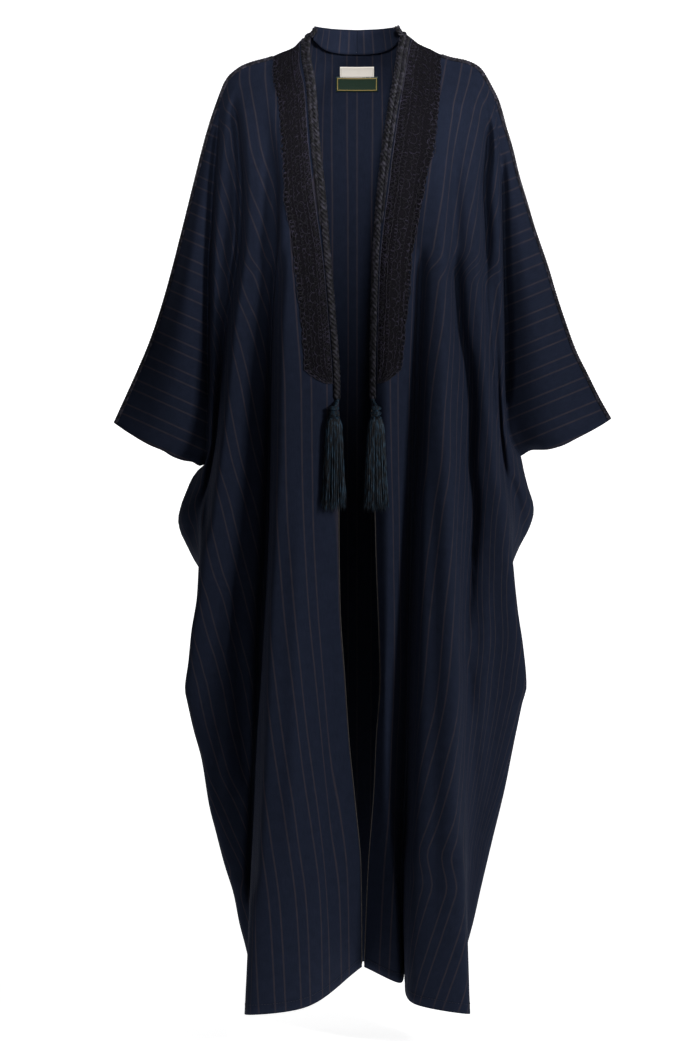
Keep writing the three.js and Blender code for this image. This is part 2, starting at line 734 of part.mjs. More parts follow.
function strand(angle, root, tip, wave) {
  const turn = new THREE.Vector3(Math.cos(angle), Math.sin(angle) * skirtDepth, 0);
  const path = [0, 0.3, 0.65, 1].map((share) => {
    const away = mix(root, tip, Math.sin(share * skirtFlare) / Math.sin(skirtFlare));
    const point = turn.clone().multiplyScalar(away + wave * Math.sin(share * 5));
    return point.setZ(mix(strandRoot, -tasselDrop, share * (1 - 0.04 * Math.abs(wave))));
  });
  const positions = [];
  path.forEach((point, ring) => {
    for (let k = 0; k < 3; k += 1) {
      const turnBy = angle + (k * 2 * Math.PI) / 3;
      const width = (strandWidth / 2) * (ring === path.length - 1 ? strandTaper : 1);
      positions.push(point.x + width * Math.cos(turnBy), point.y + width * Math.sin(turnBy), point.z);
    }
  });
  const faces = [0, 2, 1, 9, 10, 11];
  for (let ring = 0; ring < 3; ring += 1) {
    for (let k = 0; k < 3; k += 1) {
      const a = ring * 3 + k;
      const b = ring * 3 + ((k + 1) % 3);
      faces.push(a, b, b + 3, a, b + 3, a + 3);
    }
  }
  return closedGeometry(positions, faces);
}

function toManifold(wasm, geometry) {
  const mesh = new wasm.Mesh({
    numProp: 3,
    vertProperties: new Float32Array(geometry.getAttribute('position').array),
    triVerts: new Uint32Array(geometry.getIndex().array),
  });
  mesh.merge();
  return new wasm.Manifold(mesh);
}

function fromManifold(solid) {
  const mesh = solid.getMesh();
  const positions = [];
  for (let i = 0; i < mesh.vertProperties.length; i += mesh.numProp) {
    positions.push(mesh.vertProperties[i], mesh.vertProperties[i + 1], mesh.vertProperties[i + 2]);
  }
  return closedGeometry(positions, Array.from(mesh.triVerts));
}

function turnedHead() {
  const rings = headProfile.slice(1, -1);
  const top = headProfile[0];
  const foot = headProfile[headProfile.length - 1];
  const positions = [0, 0, top[1]];
  for (const [radius, height] of rings) {
    for (let k = 0; k < headSides; k += 1) {
      const turn = (k * 2 * Math.PI) / headSides;
      positions.push(radius * Math.cos(turn), radius * Math.sin(turn) * headDepth, height);
    }
  }
  positions.push(0, 0, foot[1]);
  const last = positions.length / 3 - 1;
  const at = (ring, k) => 1 + ring * headSides + (k % headSides);
  const faces = [];
  for (let k = 0; k < headSides; k += 1) {
    faces.push(0, at(0, k), at(0, k + 1), last, at(rings.length - 1, k + 1), at(rings.length - 1, k));
    for (let ring = 0; ring < rings.length - 1; ring += 1) {
      const [a, b, c, d] = [at(ring, k), at(ring + 1, k), at(ring + 1, k + 1), at(ring, k + 1)];
      faces.push(a, b, c, a, c, d);
    }
  }
  return closedGeometry(positions, faces);
}

// The cord comes down from the end of the edge braid to the first knot.
function tassel(wasm, sheet, across) {
  const top = place(new THREE.Vector3(across, tasselTopDown, tasselDepth));
  const endRow = braidEndRow(sheet.side);
  const out = onSheet(sheet.outward, endRow, cordColumn).normalize();
  const start = onSheet(sheet.points, endRow, cordColumn).addScaledVector(out, cordLift).sub(top);
  start.z -= cordGap;
  const bend = new THREE.Vector3(start.x, start.y, start.z - cordRadius);
  const knot = [new THREE.Vector3(0, 0, 6), new THREE.Vector3(0, 0, 2)];
  const path = new THREE.CatmullRomCurve3([start, bend, ...knot]);
  const round = new THREE.Shape().absarc(0, 0, cordRadius, 0, 2 * Math.PI);
  const cord = new THREE.ExtrudeGeometry(round, { steps: 6, extrudePath: path, curveSegments: 4 });
  let solid = toManifold(wasm, turnedHead()).add(toManifold(wasm, joined(cord)));
  strandRings.forEach(([count, root, tip, wave], ring) => {
    for (let i = 0; i < count; i += 1) {
      const angle = (2 * Math.PI * (i + 0.3 * ring)) / count;
      const piece = strand(angle, root, tip + 2 * Math.sin(3 * i + ring), wave * Math.sin(7 * i));
      solid = solid.add(toManifold(wasm, piece));
    }
  });
  const geometry = fromManifold(solid);
  const position = geometry.getAttribute('position');
  for (let i = 0; i < position.count; i += 1) {
    const lean = (tasselLean * Math.min(0, position.getZ(i))) / tasselDrop;
    position.setXYZ(i, position.getX(i) + top.x, position.getY(i) + top.y + lean, position.getZ(i) + top.z);
  }
  return geometry;
}

function joined(geometry) {
  const plain = new THREE.BufferGeometry().setAttribute('position', geometry.getAttribute('position'));
  return mergeVertices(plain, 1e-3);
}

function named(name, geometry, colour, roughness) {
  geometry.computeVertexNormals();
  const material = new THREE.MeshStandardMaterial({ color: colour, roughness, metalness: 0 });
  const mesh = new THREE.Mesh(geometry, material);
  mesh.name = name;
  return mesh;
}

const wasm = await Module();
wasm.setup();

const rightFront = panel(rightSide, false);
const leftFront = panel(leftSide, false);
const rightBack = panel(rightSide, true);
const leftBack = panel(leftSide, true);
const back = joinHalves(rightBack, leftBack);

const abaya = new THREE.Group();
abaya.name = 'abaya';
abaya.add(named('front_right', frontWall(rightFront), clothColour, 0.85));
abaya.add(named('front_left', frontWall(leftFront), clothColour, 0.85));
abaya.add(named('back', backWall(back), clothColour, 0.85));
abaya.add(named('collar_right', collarHalf(-1), clothColour, 0.85));
abaya.add(named('collar_left', collarHalf(1), clothColour, 0.85));
abaya.add(named('edge_braid_right', edgeBraid(rightFront, -1), braidColour, 0.7));
abaya.add(named('edge_braid_left', edgeBraid(leftFront, 1), braidColour, 0.7));
abaya.add(named('overarm_braid_right', overarmBraid(rightFront, rightBack), braidColour, 0.7));
abaya.add(named('overarm_braid_left', overarmBraid(leftFront, leftBack), braidColour, 0.7));
abaya.add(named('tassel_right', tassel(wasm, rightFront, rightTasselAcross), tasselColour, 0.5));
abaya.add(named('tassel_left', tassel(wasm, leftFront, leftTasselAcross), tasselColour, 0.5));
abaya.add(named('label_upper', label(back, upperLabel), paleLabelColour, 0.8));
abaya.add(named('label_lower', label(back, lowerLabel), darkLabelColour, 0.8));

export default abaya;
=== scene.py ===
import math

import bmesh
import bpy
import numpy as np
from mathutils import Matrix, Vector
from mathutils.bvhtree import BVHTree


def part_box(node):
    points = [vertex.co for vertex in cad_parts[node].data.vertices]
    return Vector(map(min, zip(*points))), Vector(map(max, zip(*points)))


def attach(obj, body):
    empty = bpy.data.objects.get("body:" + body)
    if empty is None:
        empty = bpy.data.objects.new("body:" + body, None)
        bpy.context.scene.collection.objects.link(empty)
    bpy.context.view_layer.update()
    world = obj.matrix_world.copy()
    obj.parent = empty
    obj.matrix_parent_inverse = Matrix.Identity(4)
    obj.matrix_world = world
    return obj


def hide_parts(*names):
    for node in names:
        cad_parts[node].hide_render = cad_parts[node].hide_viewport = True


# An open-fronted abaya, hollow as it is worn. Metres, the same frame as the CAD, front towards -Y.
# The tables are drawn on squares as seen from the front: across, down, and depth in millimetres.
MM = 0.001
SHOULDER_TO_HEM = 1500
SQUARES_TO_HEM = 965
SQUARE = SHOULDER_TO_HEM / SQUARES_TO_HEM
SIGHT_DISTANCE = 5000
SIGHT_ACROSS = 350
SIGHT_DOWN = 521.5
CENTRE_ACROSS = 357
SHOULDER_DOWN = 52

CLOTH_THICKNESS = 1.6
HALF_SEAM_GAP = 0.17
CUFF_ROWS = 14
HEM_ROWS = 16
ROW_EASE = 1.3
SLEEVE_COLUMNS = 7
SETTLE_ROWS = 5
ARM_FORWARD = 0.08
# How many parts the visible cloth has for each one of the solid.
FINE = 5

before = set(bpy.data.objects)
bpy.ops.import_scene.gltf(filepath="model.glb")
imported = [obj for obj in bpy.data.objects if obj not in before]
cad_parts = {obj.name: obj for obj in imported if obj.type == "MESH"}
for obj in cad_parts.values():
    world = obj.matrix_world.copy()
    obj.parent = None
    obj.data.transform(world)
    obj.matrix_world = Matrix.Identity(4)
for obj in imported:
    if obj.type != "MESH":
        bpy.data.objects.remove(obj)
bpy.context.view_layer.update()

# The wearer's right side. arm_reach is how far the cuff's tip is from the shoulder in squares, and the
# puffs are how far the sleeve's middle stands out in millimetres.
RIGHT_SIDE = {
    "cuff_level": 464,
    "arm_reach": 551,
    "sleeve_start": 160,
    "front_puff": -36,
    "back_puff": 38,
    # Columns: across, down.
    "shoulder": [
        [311, 33], [301, 40], [294, 47], [280, 53], [268, 58], [256, 61], [242, 66], [236, 70], [229, 76],
        [224, 84],
    ],
    "cuff": [
        [205, 464], [200, 466], [192, 462], [185, 461], [173, 457], [163, 451], [149, 445], [127, 432],
        [114, 423],
    ],
    # Columns: down, across.
    "overarm": [
        [84, 224], [97, 219], [117, 212], [137, 206], [160, 200], [200, 190], [240, 180], [275, 171],
        [313, 160], [342, 150], [366, 140], [397, 126], [423, 114],
    ],
    "embroidery": [
        [62, 273], [80, 277], [110, 280], [150, 283], [190, 284], [220, 290], [250, 293], [280, 297],
        [310, 300], [340, 302], [370, 305], [386, 309],
    ],
    # Columns: down, across, front depth, back depth.
    "side": [
        [84, 224, 0, 0], [105, 220, -14, 16], [160, 216, -30, 34], [200, 213, -36, 40], [280, 208, -40, 44],
        [400, 208, -40, 42], [440, 208, -26, 26], [464, 205, 0, 0], [471, 197, 0, 0], [480, 191, 1, 1],
        [492, 186, 2, 2], [505, 181, 3, 3], [520, 178, 4, 4], [531, 180, 5, 5], [542, 185, 6, 6],
        [560, 194, 8, 8], [574, 202, 10, 10], [600, 208, 12, 12], [690, 202, 18, 18], [760, 214, 18, 18],
        [834, 230, 16, 16], [896, 246, 14, 14], [978, 264, 12, 12],
    ],
    # Columns: down, across, depth. "columns" is how many parts the cloth has up to the next line.
    "lines": {
        "front edge": {"columns": 6, "table": [
            [33, 311, 0], [51, 310, -22], [82, 315, -58], [130, 318, -84], [190, 324, -102],
            [250, 329, -110], [310, 334, -114], [390, 339, -116], [520, 339, -114], [600, 340, -110],
            [680, 345, -104], [740, 349, -98], [800, 355, -92], [870, 361, -86], [967, 362, -80],
        ]},
        "embroidered band": {"columns": 4, "table": [
            [48, 292, 0], [82, 295, -55], [130, 299, -92], [190, 304, -113], [250, 311, -122],
            [310, 317, -127], [385, 322, -131], [460, 319, -135], [520, 315, -138], [600, 312, -144],
            [700, 309, -152], [800, 309, -162], [900, 309, -172], [1008, 304, -178],
        ]},
        "long fold": {"columns": 2, "table": [
            [57, 270, 0], [110, 276, -78], [150, 281, -103], [190, 283, -118], [230, 283, -128],
            [270, 280, -134], [320, 278, -138], [400, 276, -143], [480, 275, -148], [540, 273, -152],
            [590, 271, -156], [640, 268, -160], [690, 265, -164], [740, 262, -168], [800, 260, -173],
            [860, 257, -178], [920, 254, -184], [1015, 249, -192],
        ]},
        "hollow behind the long fold": {"columns": 3, "table": [
            [60, 259, 0], [110, 263, -68], [150, 269, -84], [190, 274, -88], [230, 274, -88],
            [320, 269, -84], [400, 267, -84], [540, 264, -86], [640, 259, -88], [740, 253, -88],
            [800, 251, -86], [860, 251, -84], [920, 253, -80], [1000, 258, -72],
        ]},
        "side fold": {"columns": 3, "table": [
            [64, 247, 0], [115, 237, -56], [140, 239, -72], [170, 244, -86], [200, 245, -94],
            [230, 243, -98], [270, 240, -100], [310, 235, -102], [380, 226, -104], [450, 219, -104],
            [520, 210, -100], [560, 205, -96], [600, 200, -90], [631, 194, -86], [663, 191, -80],
            [690, 187, -74], [704, 190, -72], [731, 196, -70], [760, 204, -70], [806, 211, -70],
            [834, 218, -68], [866, 226, -66], [896, 235, -64], [924, 240, -62], [948, 246, -60],
            [990, 255, -58],
        ]},
        "hollow at the arm": {"columns": 2, "table": [
            [70, 239, 0], [105, 230, -36], [160, 230, -56], [200, 229, -62], [280, 223, -66],
            [400, 218, -68], [440, 216, -64], [480, 208, -52], [520, 196, -36], [560, 200, -32],
            [600, 203, -34], [690, 193, -30], [760, 207, -28], [834, 222, -26], [896, 238, -24],
            [985, 257, -22],
        ]},
        "arm crease": {"columns": 2, "table": [
            [75, 231, 0], [105, 225, -28], [160, 222, -52], [200, 219, -60], [280, 214, -66],
            [400, 213, -68], [440, 213, -60], [465, 206, -44], [480, 201, -36], [500, 192, -22],
            [512, 184, -14], [520, 181, -10], [531, 183, -8], [542, 188, -8], [560, 197, -10],
            [574, 203, -12], [600, 206, -10], [690, 197, -6], [760, 211, -5], [834, 226, -5],
            [896, 242, -5], [980, 261, -5],
        ]},
    },
}

# The wearer's left side, with the same columns.
LEFT_SIDE = {
    "cuff_level": 456,
    "arm_reach": 551,
    "sleeve_start": 160,
    "front_puff": -36,
    "back_puff": 38,
    "shoulder": [
        [401, 31], [410, 37], [419, 44], [430, 49], [440, 54], [452, 58], [463, 60], [472, 63], [480, 68],
        [485, 75], [490, 84],
    ],
    "cuff": [[521, 456], [533, 450], [544, 450], [559, 447], [578, 438], [602, 425], [611, 419]],
    "overarm": [
        [84, 490], [100, 498], [125, 505], [148, 512], [178, 519], [200, 526], [227, 534], [268, 548],
        [295, 556], [325, 566], [352, 576], [372, 586], [398, 599], [419, 611],
    ],
    "embroidery": [
        [57, 441], [80, 440], [110, 437], [140, 433], [160, 428], [180, 425], [200, 421], [230, 416],
        [260, 411], [290, 409], [320, 406], [345, 404], [386, 396],
    ],
    "side": [
        [84, 490, 0, 0], [100, 494, -12, 14], [150, 500, -28, 32], [200, 502, -36, 40], [280, 504, -40, 44],
        [360, 505, -40, 42], [425, 507, -32, 30], [445, 513, -14, 14], [456, 521, 0, 0], [466, 523, 0, 0],
        [475, 525, 1, 1], [490, 529, 2, 2], [502, 533, 3, 3], [511, 534, 3, 3], [521, 532, 4, 4],
        [531, 528, 5, 5], [548, 519, 7, 7], [570, 511, 9, 9], [600, 508, 12, 12], [690, 510, 18, 18],
        [760, 498, 18, 18], [834, 484, 16, 16], [896, 468, 14, 14], [978, 450, 12, 12],
    ],
    # Columns: down, across, depth. "columns" is how many parts the cloth has up to the next line.
    "lines": {
        "front edge": {"columns": 5, "table": [
            [31, 401, 0], [51, 397, -22], [71, 394, -46], [102, 389, -70], [130, 385, -84],
            [170, 380, -97], [230, 375, -108], [310, 372, -114], [380, 371, -116], [520, 375, -114],
            [560, 376, -112], [640, 379, -107], [680, 380, -104], [740, 376, -98], [787, 374, -94],
            [868, 368, -86], [967, 364, -80],
        ]},
        "embroidered band": {"columns": 2, "table": [
            [40, 414, 0], [82, 416, -52], [110, 411, -84], [160, 404, -108], [200, 399, -117],
            [260, 392, -125], [320, 389, -129], [380, 387, -132], [460, 387, -131], [520, 388, -129],
            [600, 388, -123], [700, 386, -114], [787, 387, -111], [860, 392, -113], [900, 395, -114],
            [940, 397, -115], [983, 399, -116],
        ]},
        "hollow beside the edge": {"columns": 2, "table": [
            [48, 428, 0], [110, 423, -83], [160, 417, -106], [200, 414, -112], [260, 411, -114],
            [320, 409, -112], [400, 409, -106], [500, 408, -100], [600, 407, -92], [700, 405, -86],
            [800, 403, -80], [900, 401, -74], [974, 405, -68],
        ]},
        "near side of the long fold": {"columns": 2, "table": [
            [52, 437, 0], [110, 432, -83], [160, 427, -109], [200, 426, -117], [260, 424, -123],
            [400, 423, -129], [500, 421, -134], [600, 419, -140], [700, 417, -146], [800, 417, -156],
            [900, 416, -166], [1004, 414, -176],
        ]},
        "long fold": {"columns": 2, "table": [
            [58, 452, 0], [110, 447, -80], [160, 443, -108], [260, 441, -130], [330, 442, -137],
            [400, 442, -143], [460, 445, -148], [560, 448, -156], [640, 451, -162], [690, 453, -166],
            [800, 456, -174], [900, 460, -182], [960, 463, -187], [1014, 466, -192],
        ]},
        "hollow behind the long fold": {"columns": 2, "table": [
            [61, 465, 0], [110, 461, -66], [160, 457, -84], [200, 456, -90], [260, 458, -94],
            [400, 465, -94], [500, 470, -92], [600, 474, -92], [700, 478, -90], [800, 475, -86],
            [900, 468, -78], [1000, 456, -70],
        ]},
        "side fold": {"columns": 3, "table": [
            [64, 473, 0], [110, 475, -52], [150, 474, -74], [190, 472, -88], [230, 474, -97],
            [260, 478, -100], [320, 484, -104], [390, 492, -102], [450, 497, -98], [520, 503, -94],
            [570, 510, -88], [619, 517, -82], [643, 521, -78], [687, 525, -72], [704, 520, -71],
            [740, 513, -70], [787, 504, -70], [841, 491, -68], [889, 480, -64], [922, 473, -62],
            [962, 463, -58], [990, 458, -56],
        ]},
        "hollow at the arm": {"columns": 2, "table": [
            [70, 481, 0], [100, 485, -26], [150, 487, -52], [200, 489, -60], [280, 493, -66],
            [360, 498, -66], [430, 501, -62], [480, 508, -50], [520, 516, -36], [560, 511, -34],
            [600, 510, -32], [690, 518, -28], [760, 503, -26], [834, 489, -24], [896, 476, -22],
            [985, 456, -20],
        ]},
        "arm crease": {"columns": 2, "table": [
            [77, 486, 0], [100, 490, -24], [150, 495, -50], [200, 497, -58], [280, 500, -64],
            [360, 502, -64], [430, 504, -56], [450, 510, -44], [480, 519, -32], [495, 526, -22],
            [503, 530, -14], [511, 531, -10], [521, 529, -8], [531, 525, -8], [548, 517, -10],
            [570, 510, -12], [600, 509, -10], [690, 514, -6], [760, 501, -5], [834, 487, -5],
            [896, 472, -5], [980, 453, -5],
        ]},
    },
}

# The back's fold lines, the same on both sides. Columns: down, share of the way to the side seam, depth.
BACK_LINES = {
    "centre back": {"columns": 4, "table": [
        [52.6, 0, 58], [70, 0, 84], [100, 0, 106], [150, 0, 122], [220, 0, 128], [320, 0, 124],
        [460, 0, 119], [600, 0, 122], [760, 0, 128], [962, 0, 138],
    ]},
    "inner hollow": {"columns": 3, "table": [
        [50, 0.17, 49], [70, 0.18, 78], [100, 0.2, 100], [150, 0.21, 116], [220, 0.22, 121],
        [320, 0.22, 115], [460, 0.22, 109], [600, 0.23, 107], [760, 0.24, 110], [960, 0.24, 116],
    ]},
    "inner fold": {"columns": 3, "table": [
        [33, 0.34, 0], [70, 0.37, 52], [100, 0.4, 80], [150, 0.42, 104], [220, 0.44, 116],
        [320, 0.45, 118], [460, 0.45, 116], [600, 0.46, 121], [760, 0.47, 134], [957, 0.48, 152],
    ]},
    "outer hollow": {"columns": 3, "table": [
        [57, 0.654, 0], [100, 0.66, 50], [150, 0.66, 80], [220, 0.66, 95], [320, 0.66, 95],
        [460, 0.66, 88], [600, 0.67, 86], [760, 0.68, 92], [960, 0.7, 100],
    ]},
    "outer fold": {"columns": 3, "table": [
        [66, 0.86, 0], [100, 0.86, 32], [150, 0.86, 60], [220, 0.86, 78], [320, 0.86, 84],
        [460, 0.86, 78], [520, 0.86, 72], [600, 0.87, 82], [690, 0.88, 92], [760, 0.88, 98],
        [962, 0.88, 116],
    ]},
}

# The neckline, and the collar's lower and upper edges. Columns: distance from the centre, down, depth.
NECKLINE = [[0, 52.6, 58], [12, 52.4, 57], [23, 51, 51], [35, 46, 34], [42, 38, 15], [45, 33, 0]]
COLLAR_FOOT = [
    [0, 54.5, 54.6], [12, 54.3, 53.2], [22, 53, 46.8], [32.4, 49.5, 31], [39.5, 43.5, 11.5],
    [42.6, 40.3, -6],
]
COLLAR_TOP = [
    [0, 30, 58.5], [12, 29.5, 55], [22, 29, 45.5], [31, 28, 28.5], [38, 27, 10.5], [41.6, 26.3, -7],
]

# Small folds laid over the drape. Columns: across and down at both ends, height in millimetres, width.
RIGHT_FOLDS = [
    [262, 120, 254, 400, 5, 7],
    [300, 470, 290, 900, 6, 9],
    [330, 560, 332, 960, -7, 7],
    [230, 560, 226, 820, 6, 6],
    [207, 474, 188, 552, -9, 5],
]
LEFT_FOLDS = [
    [462, 120, 470, 380, 5, 7],
    [434, 420, 436, 980, -5, 7],
    [486, 560, 480, 820, 6, 6],
    [508, 466, 528, 548, -9, 5],
]
BACK_FOLDS = [
    [357, 130, 357, 430, -5, 9],
    [322, 170, 312, 900, -6, 8],
    [393, 190, 404, 930, -6, 8],
    [338, 480, 334, 955, 5, 7],
    [378, 420, 384, 930, 5, 7],
    [282, 260, 268, 860, 5, 8],
    [436, 240, 450, 880, 5, 8],
    [246, 400, 232, 780, -5, 6],
    [468, 380, 480, 760, -5, 6],
]
# Sharp creases between the folds: height in millimetres, width, and a table of down and across.
RIGHT_CREASES = [
    (
        -16, 3,
        [[110, 219], [145, 216], [190, 212], [235, 210], [280, 208.5], [325, 207.5], [370, 208], [415, 208.5]]
    ),
    (-32, 4.5, [
        [90, 233], [145, 238.5], [190, 241], [235, 240], [280, 234.5], [325, 227.5], [370, 223.5], [415, 219],
        [460, 213], [505, 206.5], [550, 201.5],
    ]),
    (-27, 5, [
        [240, 280], [280, 278], [325, 274.5], [370, 273], [460, 271], [505, 268.5], [550, 266.5], [595, 263.5],
        [640, 261.5], [730, 259], [820, 254.5], [910, 250],
    ]),
    (-8, 5, [[560, 238], [595, 237], [640, 236], [690, 240], [730, 243], [800, 247]]),
]
LEFT_CREASES = [
    (-14, 3, [[150, 503], [190, 504], [235, 505], [280, 506], [325, 508], [370, 508], [415, 505.5]]),
    (-28, 4.5, [
        [110, 489], [145, 488], [190, 484], [235, 486], [280, 485], [325, 488], [370, 492], [415, 496],
        [460, 501], [505, 506],
    ]),
    (-24, 5, [
        [240, 422], [280, 420.5], [325, 419], [370, 418], [460, 416.5], [505, 414.5], [595, 413], [685, 411.5],
        [775, 409], [865, 405],
    ]),
    (-18, 5, [
        [240, 452], [280, 456], [325, 460], [370, 468], [415, 471], [460, 470], [505, 474], [595, 468],
        [640, 464], [685, 468], [730, 465], [775, 462], [865, 464],
    ]),
]
BACK_CREASES = [
    (10, 4, [[130, 246], [240, 250], [340, 240], [460, 226], [540, 214]]),
    (10, 4, [[130, 470], [240, 466], [340, 474], [460, 488], [540, 498]]),
    (9, 5, [[300, 300], [480, 296], [700, 288], [900, 284]]),
    (9, 5, [[260, 418], [460, 424], [680, 428], [880, 436]]),
]
CREASE_END = 40
# How far the stripes have moved towards the front edge at the hem, as the sides hang from the arms.
# Columns: share of the way round to the side seam, metres.
RIGHT_LEAN = [[0, 0], [0.44, 0], [0.56, 0.25], [1, 0.27]]
LEFT_LEAN = [[0, 0], [0.3, 0], [0.42, 0.1], [0.57, 0.11], [0.68, 0.25], [1, 0.27]]
BACK_LEAN = [[0, 0], [0.4, 0], [1, 0.06]]
# How far the stripes stay out below the shoulder as the chest rounds, in metres at most, and the share of it.
# Columns: share of the way round, share of the ease.
CHEST_EASE = [[0, 0], [0.2, 1], [0.6, 1], [1, 0.2]]
RIGHT_EASE = 0.022
LEFT_EASE = 0.010
CHEST_TOP = 60
CHEST_DROP = 140

# The collar's stand: its height and thickness in millimetres, and its grid of columns and rows.
COLLAR_HEIGHT = 39
COLLAR_THICKNESS = 2.0
COLLAR_COLUMNS = 33
COLLAR_ROWS = 9
# The collar's stripes fan out upwards by this share for each metre, from this place in the repeat in metres.
COLLAR_FAN = 2.5
COLLAR_STRIPE_START = 0.0135

# Metres: two pinstripes in each repeat, and how far they are apart.
STRIPE_REPEAT = 0.041
STRIPE_STEP = 0.016
STRIPE_WIDTH = 0.0021
SLEEVE_SHOULDER_CUT = 0.165
# The weave is about half this pitch. It is drawn coarser so that it shows.
TWILL_SCALE = 260
TWILL_SLANT = math.radians(35)

# The two cords along each front edge, in millimetres. The main one widens after a length, over another.
MAIN_CORD = {"from_edge": 5.2, "lift": 2.8, "width": 9.8, "low_width": 12.2, "height": 6.6, "pitch": 23}
MAIN_CORD_WIDENS = (150, 200)
INNER_CORD = {"from_edge": 13.2, "lift": 2.2, "width": 7.8, "height": 5, "pitch": 17}
INNER_CORD_ENDS = 330
INNER_CORD_TAPER = 120
CORD_PLIES = 3
CORD_STEP = 1.5
BRAID_END_DOWN = 399
# Columns: squares below the neck's corner, squares in from it, depth.
BRAID_LEAD = [[-5, 8.2, -3], [-2, 6.4, -4.5], [2, 4.2, -6.5]]
# Each ply is this share of the cord's width out from its middle, and this thick.
PLY_PLACE = 0.29
PLY_RADIUS = 0.24
# How many columns from the edge the cloth's spacing is measured.
EDGE_COLUMNS = 8
# The braid over the shoulder and arm seams. Columns: how far in from the outline, lift and width in
# millimetres.
OVERARM_FRONT = [[0.7, 1.1, 2.7], [2.6, 1.1, 2.7], [4.5, 1.1, 2.5]]
OVERARM_BACK = [[0.9, 1.1, 2.7], [2.9, 1.1, 2.5]]
OVERARM_PITCH = 9
SEAM_STEP = 3

# The embroidered band, in millimetres: its width, its rounded end, and each scallop of its outer edge.
BAND_WIDTH = 42
BAND_END = 24
BAND_STEP = 1.4
SCALLOP = 14
SCALLOP_DEPTH = 0.06
GROUND_LIFT = 0.95
GROUND_THICKNESS = 0.5
GROUND_CUT = 0.05
# How far the embroidery starts from the front edge. Columns: down, millimetres.
BAND_START = [[0, 16], [170, 16], [270, 10], [420, 10]]
# Threads laid in waves. Columns: middle as a share of the band, swing, period in mm, phase, lift and
# radius in mm.
BAND_WAVES = [
    [0.07, 0.045, 7, 0, 1.5, 0.55],
    [0.17, 0.045, 7, 0.5, 1.7, 0.55],
    [0.25, 0.012, 9, 0, 1.4, 0.6],
    [0.84, 0.03, 17, 0.3, 1.6, 0.45],
]
# Threads laid in curls. Columns: middle as a share, curl and period in mm, phase, lift and radius in mm.
BAND_CURLS = [
    [0.94, 2.4, 8.0, 0.0, 1.9, 0.6],
    [0.80, 1.9, 10.5, 0.1, 1.8, 0.42],
    [0.64, 1.4, 6.3, 0.6, 1.7, 0.38],
    [0.50, 3.0, 15.5, 0.2, 1.9, 0.48],
    [0.36, 1.4, 5.7, 0.3, 1.7, 0.38],
    [0.12, 1.8, 8.3, 0.2, 1.9, 0.42],
]
CURL_STEPS = 14
STITCHES_PER_MM = 1.4
PIPING_SHARE = 0.02
PIPING_LIFT = 1.4

TASSEL_ACROSS = {"right": 334, "left": 376}
TASSEL_TOP_DOWN = 405.5
TASSEL_DEPTH = -139
TASSEL_DROP = 164
TASSEL_LEAN = 0.014
# The short cord above the knots: width, height and pitch in millimetres.
TASSEL_CORD = [6.2, 5.8, 14]
# The tassel's depth from front to back is this share of its width, in its head and in its skirt.
HEAD_FLATNESS = 0.9
SKIRT_FLATNESS = 0.68
# The turned form of the knots and the head. Columns: radius, height in millimetres.
HEAD_PROFILE = [
    [2.2, -0.5], [6.0, -1.5], [7.4, -4], [6.2, -7], [4.6, -8], [6.4, -9], [7.6, -11.5], [6.2, -14.5],
    [5.0, -16],
    [7.5, -22], [6.5, -34], [1.0, -44],
]
# Yarn wound round each knot. Columns: height, radius in millimetres.
WOUND_YARNS = [[-2.6, 6.9], [-4.2, 7.6], [-5.8, 7.0], [-10, 7.0], [-11.6, 7.8], [-13.2, 7.2]]
WOUND_RADIUS = 0.8
SKIRT_TOP = -15
# Columns: yarns, radius at the root, swell below it, radius at the tip.
SKIRT_RINGS = [[10, 2.0, 1.0, 5], [22, 3.4, 2.5, 10], [36, 4.6, 4.4, 14.5], [56, 5.6, 5.6, 18.5]]

LABEL_THICKNESS = 0.9
LABEL_ROWS = 9
LABEL_COLUMNS = 25
LAID_GAP = 0.35
# Metres: the gold line woven round the dark label, in from its edge, and half its width.
BORDER_INSET = 0.0022
BORDER_HALF = 0.0005
# Millimetres: how far the hem's stitches are from the edge, their length and their thread's radius.
HEM_DEPTH = 14
STITCH = 4.5
STITCH_RADIUS = 0.34
SELVEDGE_START = 0.42
SELVEDGE_RADIUS = 0.75

# The studio, in metres.
FLOOR_HEIGHT = -1.52
FLOOR_REACH = (-12, 18)
FLOOR_HALF_WIDTH = 14
BACKDROP_STEPS = 40
BACKDROP_BEND = 8.0
BACKDROP_RADIUS = 1.5
BACKDROP_GLOW = 0.9
GLOW_STARTS = (-0.6, -0.1)
GLOW_FADES = (2.2, 3.2)
SKY_STRENGTH = 0.07
# Columns: name, kind, place, aim, size in metres, power in watts.
LIGHTS = [
    ("right_softbox", "AREA", (3.0, -3.0, 0.5), (0, 0, -0.7), 0.8, 115),
    ("neck_light", "SPOT", (0.2, -4.2, 0.9), (0, 0, -0.03), 0.3, 1300),
]
SPOT_CONE = math.radians(9)
PHOTO_HEIGHT = 1043
SENSOR_HEIGHT = 36

MATHS = "ShaderNodeMath"



def slopes(knots, values):
    """The gentle slope at each row of a table, flat where the values turn back."""
    steps = np.diff(values) / np.diff(knots)
    inner = np.zeros(len(knots))
    inner[0], inner[-1] = steps[0], steps[-1]
    same = steps[:-1] * steps[1:] > 0
    middle = np.zeros(len(steps) - 1)
    middle[same] = 2 * steps[:-1][same] * steps[1:][same] / (steps[:-1][same] + steps[1:][same])
    inner[1:-1] = middle
    return inner


